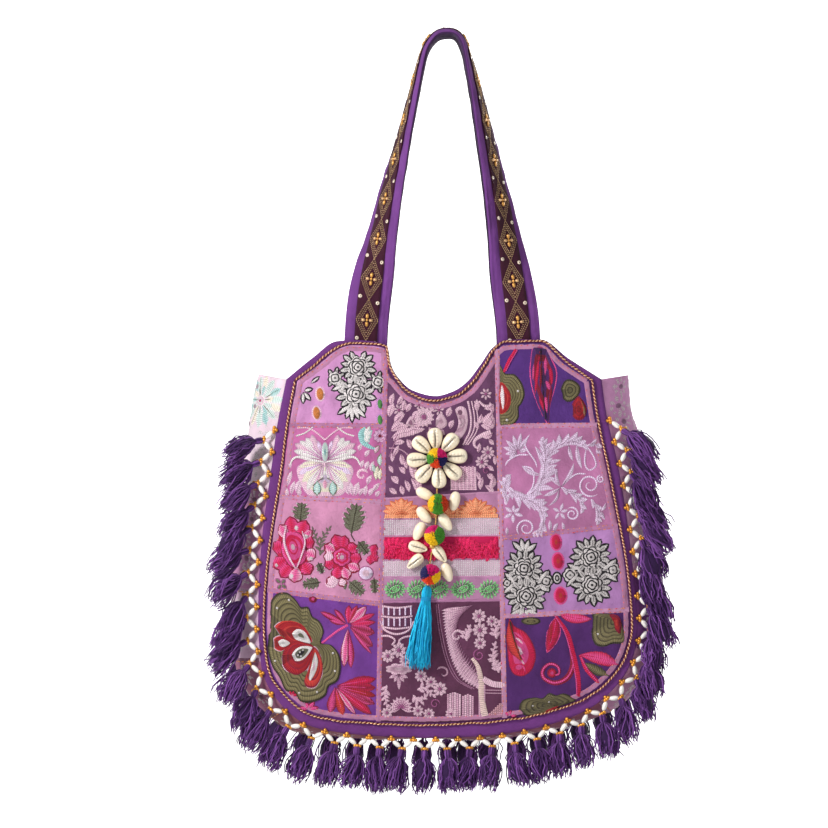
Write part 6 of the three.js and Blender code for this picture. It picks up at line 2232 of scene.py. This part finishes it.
def build_pompoms():
    """Balls of cut wool threads over a dark core of painted shade, spread evenly by the golden angle."""
    k = np.arange(POMPOM_THREADS) + 0.5
    tilt, turn = np.arccos(1 - 2 * k / len(k)), math.pi * (1 + 5 ** 0.5) * k
    spread = np.stack([np.sin(tilt) * np.cos(turn), np.sin(tilt) * np.sin(turn), np.cos(tilt)], 1)
    t = np.array([0.4, 0.7, 1.0])
    for name, x, z, stand, colours in POMPOMS:
        r = np.random.default_rng(int(-z))
        centre = over_front(x, z, stand)
        way = unit(spread + r.normal(0, 0.05, spread.shape))
        sides = np.array([(a, b) for _, a, b in colours])
        gap = ((way[:, None, ::2] - sides[None]) ** 2).sum(-1) + r.normal(0, 0.05, (len(way), len(sides)))
        tone = np.array([c for c, _, _ in colours])[gap.argmin(1)] * r.uniform(0.8, 1.12, (len(way), 1))
        reach = r.uniform(9.4, 10.7, len(way))
        bend = unit(np.cross(way, r.normal(0, 1, way.shape))) * r.uniform(0, 0.9, (len(way), 1))
        paths = centre + way[:, None] * (t * reach[:, None])[..., None] + bend[:, None] * (t ** 2)[:, None]
        shape = Shape()
        shape.tubes(paths, (0.65, 0.72, 0.52), 3, tone)
        # a near-black core: painted shade inside the ball of wool
        shape.copies(ball(8, 12), centre[None], np.eye(3) * POMPOM_CORE, (0.08, 0.03, 0.04))
        shape.object(name + "_wool", [WOOL], "pompom_wool", name)


# x, z and stand of the string that carries the charm
CHARM_STRING = [(-12, -446, 4), (-12, -457, 3.5), (-12, -471, 3.5), (-14.5, -502, 3.5), (-19, -530, 3.5),
                (-20.4, -545, 3.6), (-21.4, -553, 4.8)]
CHARM_KNOT, CHARM_TOP = (-17, -513, 9), (-21.5, -553.4, 5)
# drop and radius down the turquoise tassel
CHARM_TASSEL = [(-1, 0.8), (1.5, 3.4), (5, 4.5), (9, 4.6), (12, 4.0), (18, 5.2), (26, 6.6), (36, 8.0),
                (47, 9.2), (58, 10.2), (69, 11), (80, 11.6)]


def build_charm_string():
    """The twisted gold string of the charm, with a knot riding on it."""
    step, lay = 0.8, 3
    string = line(CHARM_STRING, step)
    centre = np.stack([string[:, 0], front_y(string[:, 0], string[:, 1]) - string[:, 2], string[:, 1]], 1)
    turn = np.arange(len(centre)) * step / lay * 2 * math.pi
    shape = Shape()
    for ply in (0, math.pi):
        path = centre + np.stack([np.cos(turn + ply), np.sin(turn + ply), 0 * turn], 1) * 0.45
        shape.tubes(path, 0.5, 5, srgb(206, 164, 96))
    string_piece = shape.object("charm_string", [GOLD], "gold_cord", "charm_cord")
    shape = Shape()
    shape.copies(ball(7, 9), [over_front(*CHARM_KNOT)], np.eye(3) * 2.6, srgb(214, 170, 92))
    knot_piece = shape.object("charm_knot", [GOLD], "gold_cord")


def build_charm_tassel():
    """The long turquoise tassel, with its dark cores of painted shade and the thread wound round its neck.
    """
    top = over_front(*CHARM_TOP)[None]
    heading = hanging(np.array([7.0]), 4.0, -1)
    paths = threads(top, heading, 240, CHARM_TASSEL, 91, depth=0.68, fuzz=0.9, spread=(0.84, 1.04), locks=8)
    shade = np.random.default_rng(92).uniform(0, 1, (len(paths), 1))
    width = np.full(len(CHARM_TASSEL), 0.6)
    width[-1] = 0.35
    shape = Shape()
    shape.tubes(paths, width, 3, srgb(0, 136, 190) * (1 - shade) + srgb(36, 204, 244) * shade)
    across, side = across_tassel(heading)
    for at, long, wide in ((6, 7, 3.6), (42, 30, 5.2)):
        axes = np.stack([across * wide, side * wide * 0.7, heading * long], 1)
        # the cores are darker than the threads: painted shade inside the tassel
        shape.copies(ball(8, 10), top + heading * at, axes, srgb(8, 96, 140))
    a = np.linspace(0, 2 * math.pi, 25)[:, None]
    for k in range(4):
        ring = top + heading * (11.2 + 0.9 * k) + (across * np.cos(a) * 4.7 + side * np.sin(a) * 3.4)
        shape.tubes(ring, 0.6, 5, srgb(18, 140, 188))
    shape.object("turquoise_tassel", [FLOSS], "turquoise_thread", "charm_tassel")


# Stage, in metres

# height of the floor, distance of the backdrop, and where its own light starts and is full
FLOOR, WALL, GLOW_FROM, GLOW_FULL = -0.96, 9.0, 1.0, 2.3
# place, aim, size and power of the lamps
LAMPS = [("key", (-1.5, -1.5, 0.5), (0, 0, -0.42), 0.45, 48),
         ("fill", (1.5, -1.8, -0.1), (0, 0, -0.45), 1.6, 8),
         ("back", (0.9, 1.5, 0.4), (0, 0, -0.42), 0.8, 16)]
CAMERA_X, CAMERA_Z, CAMERA_FRONT, CAMERA_AWAY, CAMERA_SEES, SENSOR = -0.035, -0.381, -0.058, 6.0, 0.828, 36


def floor_material():
    """Pale floor whose far side gives off light of its own."""
    m, tree, shader = material("pale_floor", 0.95, spec=0.1)
    shader.inputs["Base Color"].default_value = (0.9, 0.9, 0.9, 1)
    shader.inputs["Emission Color"].default_value = (1, 1, 1, 1)
    split = node(tree, "ShaderNodeSeparateXYZ")
    tree.links.new(places(tree), split.inputs["Vector"])
    glow = node(tree, "ShaderNodeMapRange", From_Min=GLOW_FROM, From_Max=GLOW_FULL)
    tree.links.new(split.outputs["Y"], glow.inputs["Value"])
    tree.links.new(glow.outputs["Result"], shader.inputs["Emission Strength"])
    return m


def build_floor():
    """A floor that sweeps up into a wall."""
    a = np.linspace(0, math.pi / 2, 14)
    sweep = np.stack([WALL - 1 + np.sin(a), FLOOR + 1 - np.cos(a)], 1)
    profile = np.concatenate([[(-WALL, FLOOR)], sweep, [(WALL, FLOOR + 4)]])
    points = [(x, y, z) for y, z in profile.tolist() for x in (-WALL, WALL)]
    quads = [(2 * i, 2 * i + 1, 2 * i + 3, 2 * i + 2) for i in range(len(profile) - 1)]
    mesh = bpy.data.meshes.new("floor")
    mesh.from_pydata(points, [], quads)
    mesh.polygons.foreach_set("use_smooth", np.full(len(quads), True))
    mesh.materials.append(floor_material())
    floor = bpy.data.objects.new("floor", mesh)
    bpy.context.scene.collection.objects.link(floor)


def build_lights():
    """Soft light from all round, and three lamps."""
    world = bpy.data.worlds.new("studio")
    world.use_nodes = True
    world.node_tree.nodes["Background"].inputs["Color"].default_value = (1, 0.985, 0.97, 1)
    world.node_tree.nodes["Background"].inputs["Strength"].default_value = 0.4
    bpy.context.scene.world = world
    for name, place, aim, size, power in LAMPS:
        lamp = bpy.data.lights.new(name, "AREA")
        lamp.size, lamp.energy = size, power
        light = bpy.data.objects.new(name, lamp)
        light.location = place
        x, y, z = np.array(aim) - np.array(place)
        light.rotation_euler = (math.atan2(math.hypot(x, y), -z), 0, math.atan2(x, -y) + math.pi)
        bpy.context.scene.collection.objects.link(light)


def build_camera():
    """A level camera that faces the front from far away."""
    camera = bpy.data.cameras.new("camera")
    camera.sensor_width, camera.lens = SENSOR, SENSOR * CAMERA_AWAY / CAMERA_SEES
    eye = bpy.data.objects.new("camera", camera)
    eye.location = (CAMERA_X, CAMERA_FRONT - CAMERA_AWAY, CAMERA_Z)
    eye.rotation_euler = (math.pi / 2, 0, 0)
    bpy.context.scene.collection.objects.link(eye)
    bpy.context.scene.camera = eye
    bpy.context.scene.view_settings.view_transform = "Standard"


build_panels()
build_gusset()
print_gusset()
build_grounds()
build_embroidery()
build_seams()
build_edge_strip()
topstitch_back()
build_cord()
build_straps()
build_fringe("front", -1, 80)
build_fringe("back", 1, 22)
build_shells()
build_pompoms()
build_charm_string()
build_charm_tassel()
build_floor()
build_lights()
build_camera()
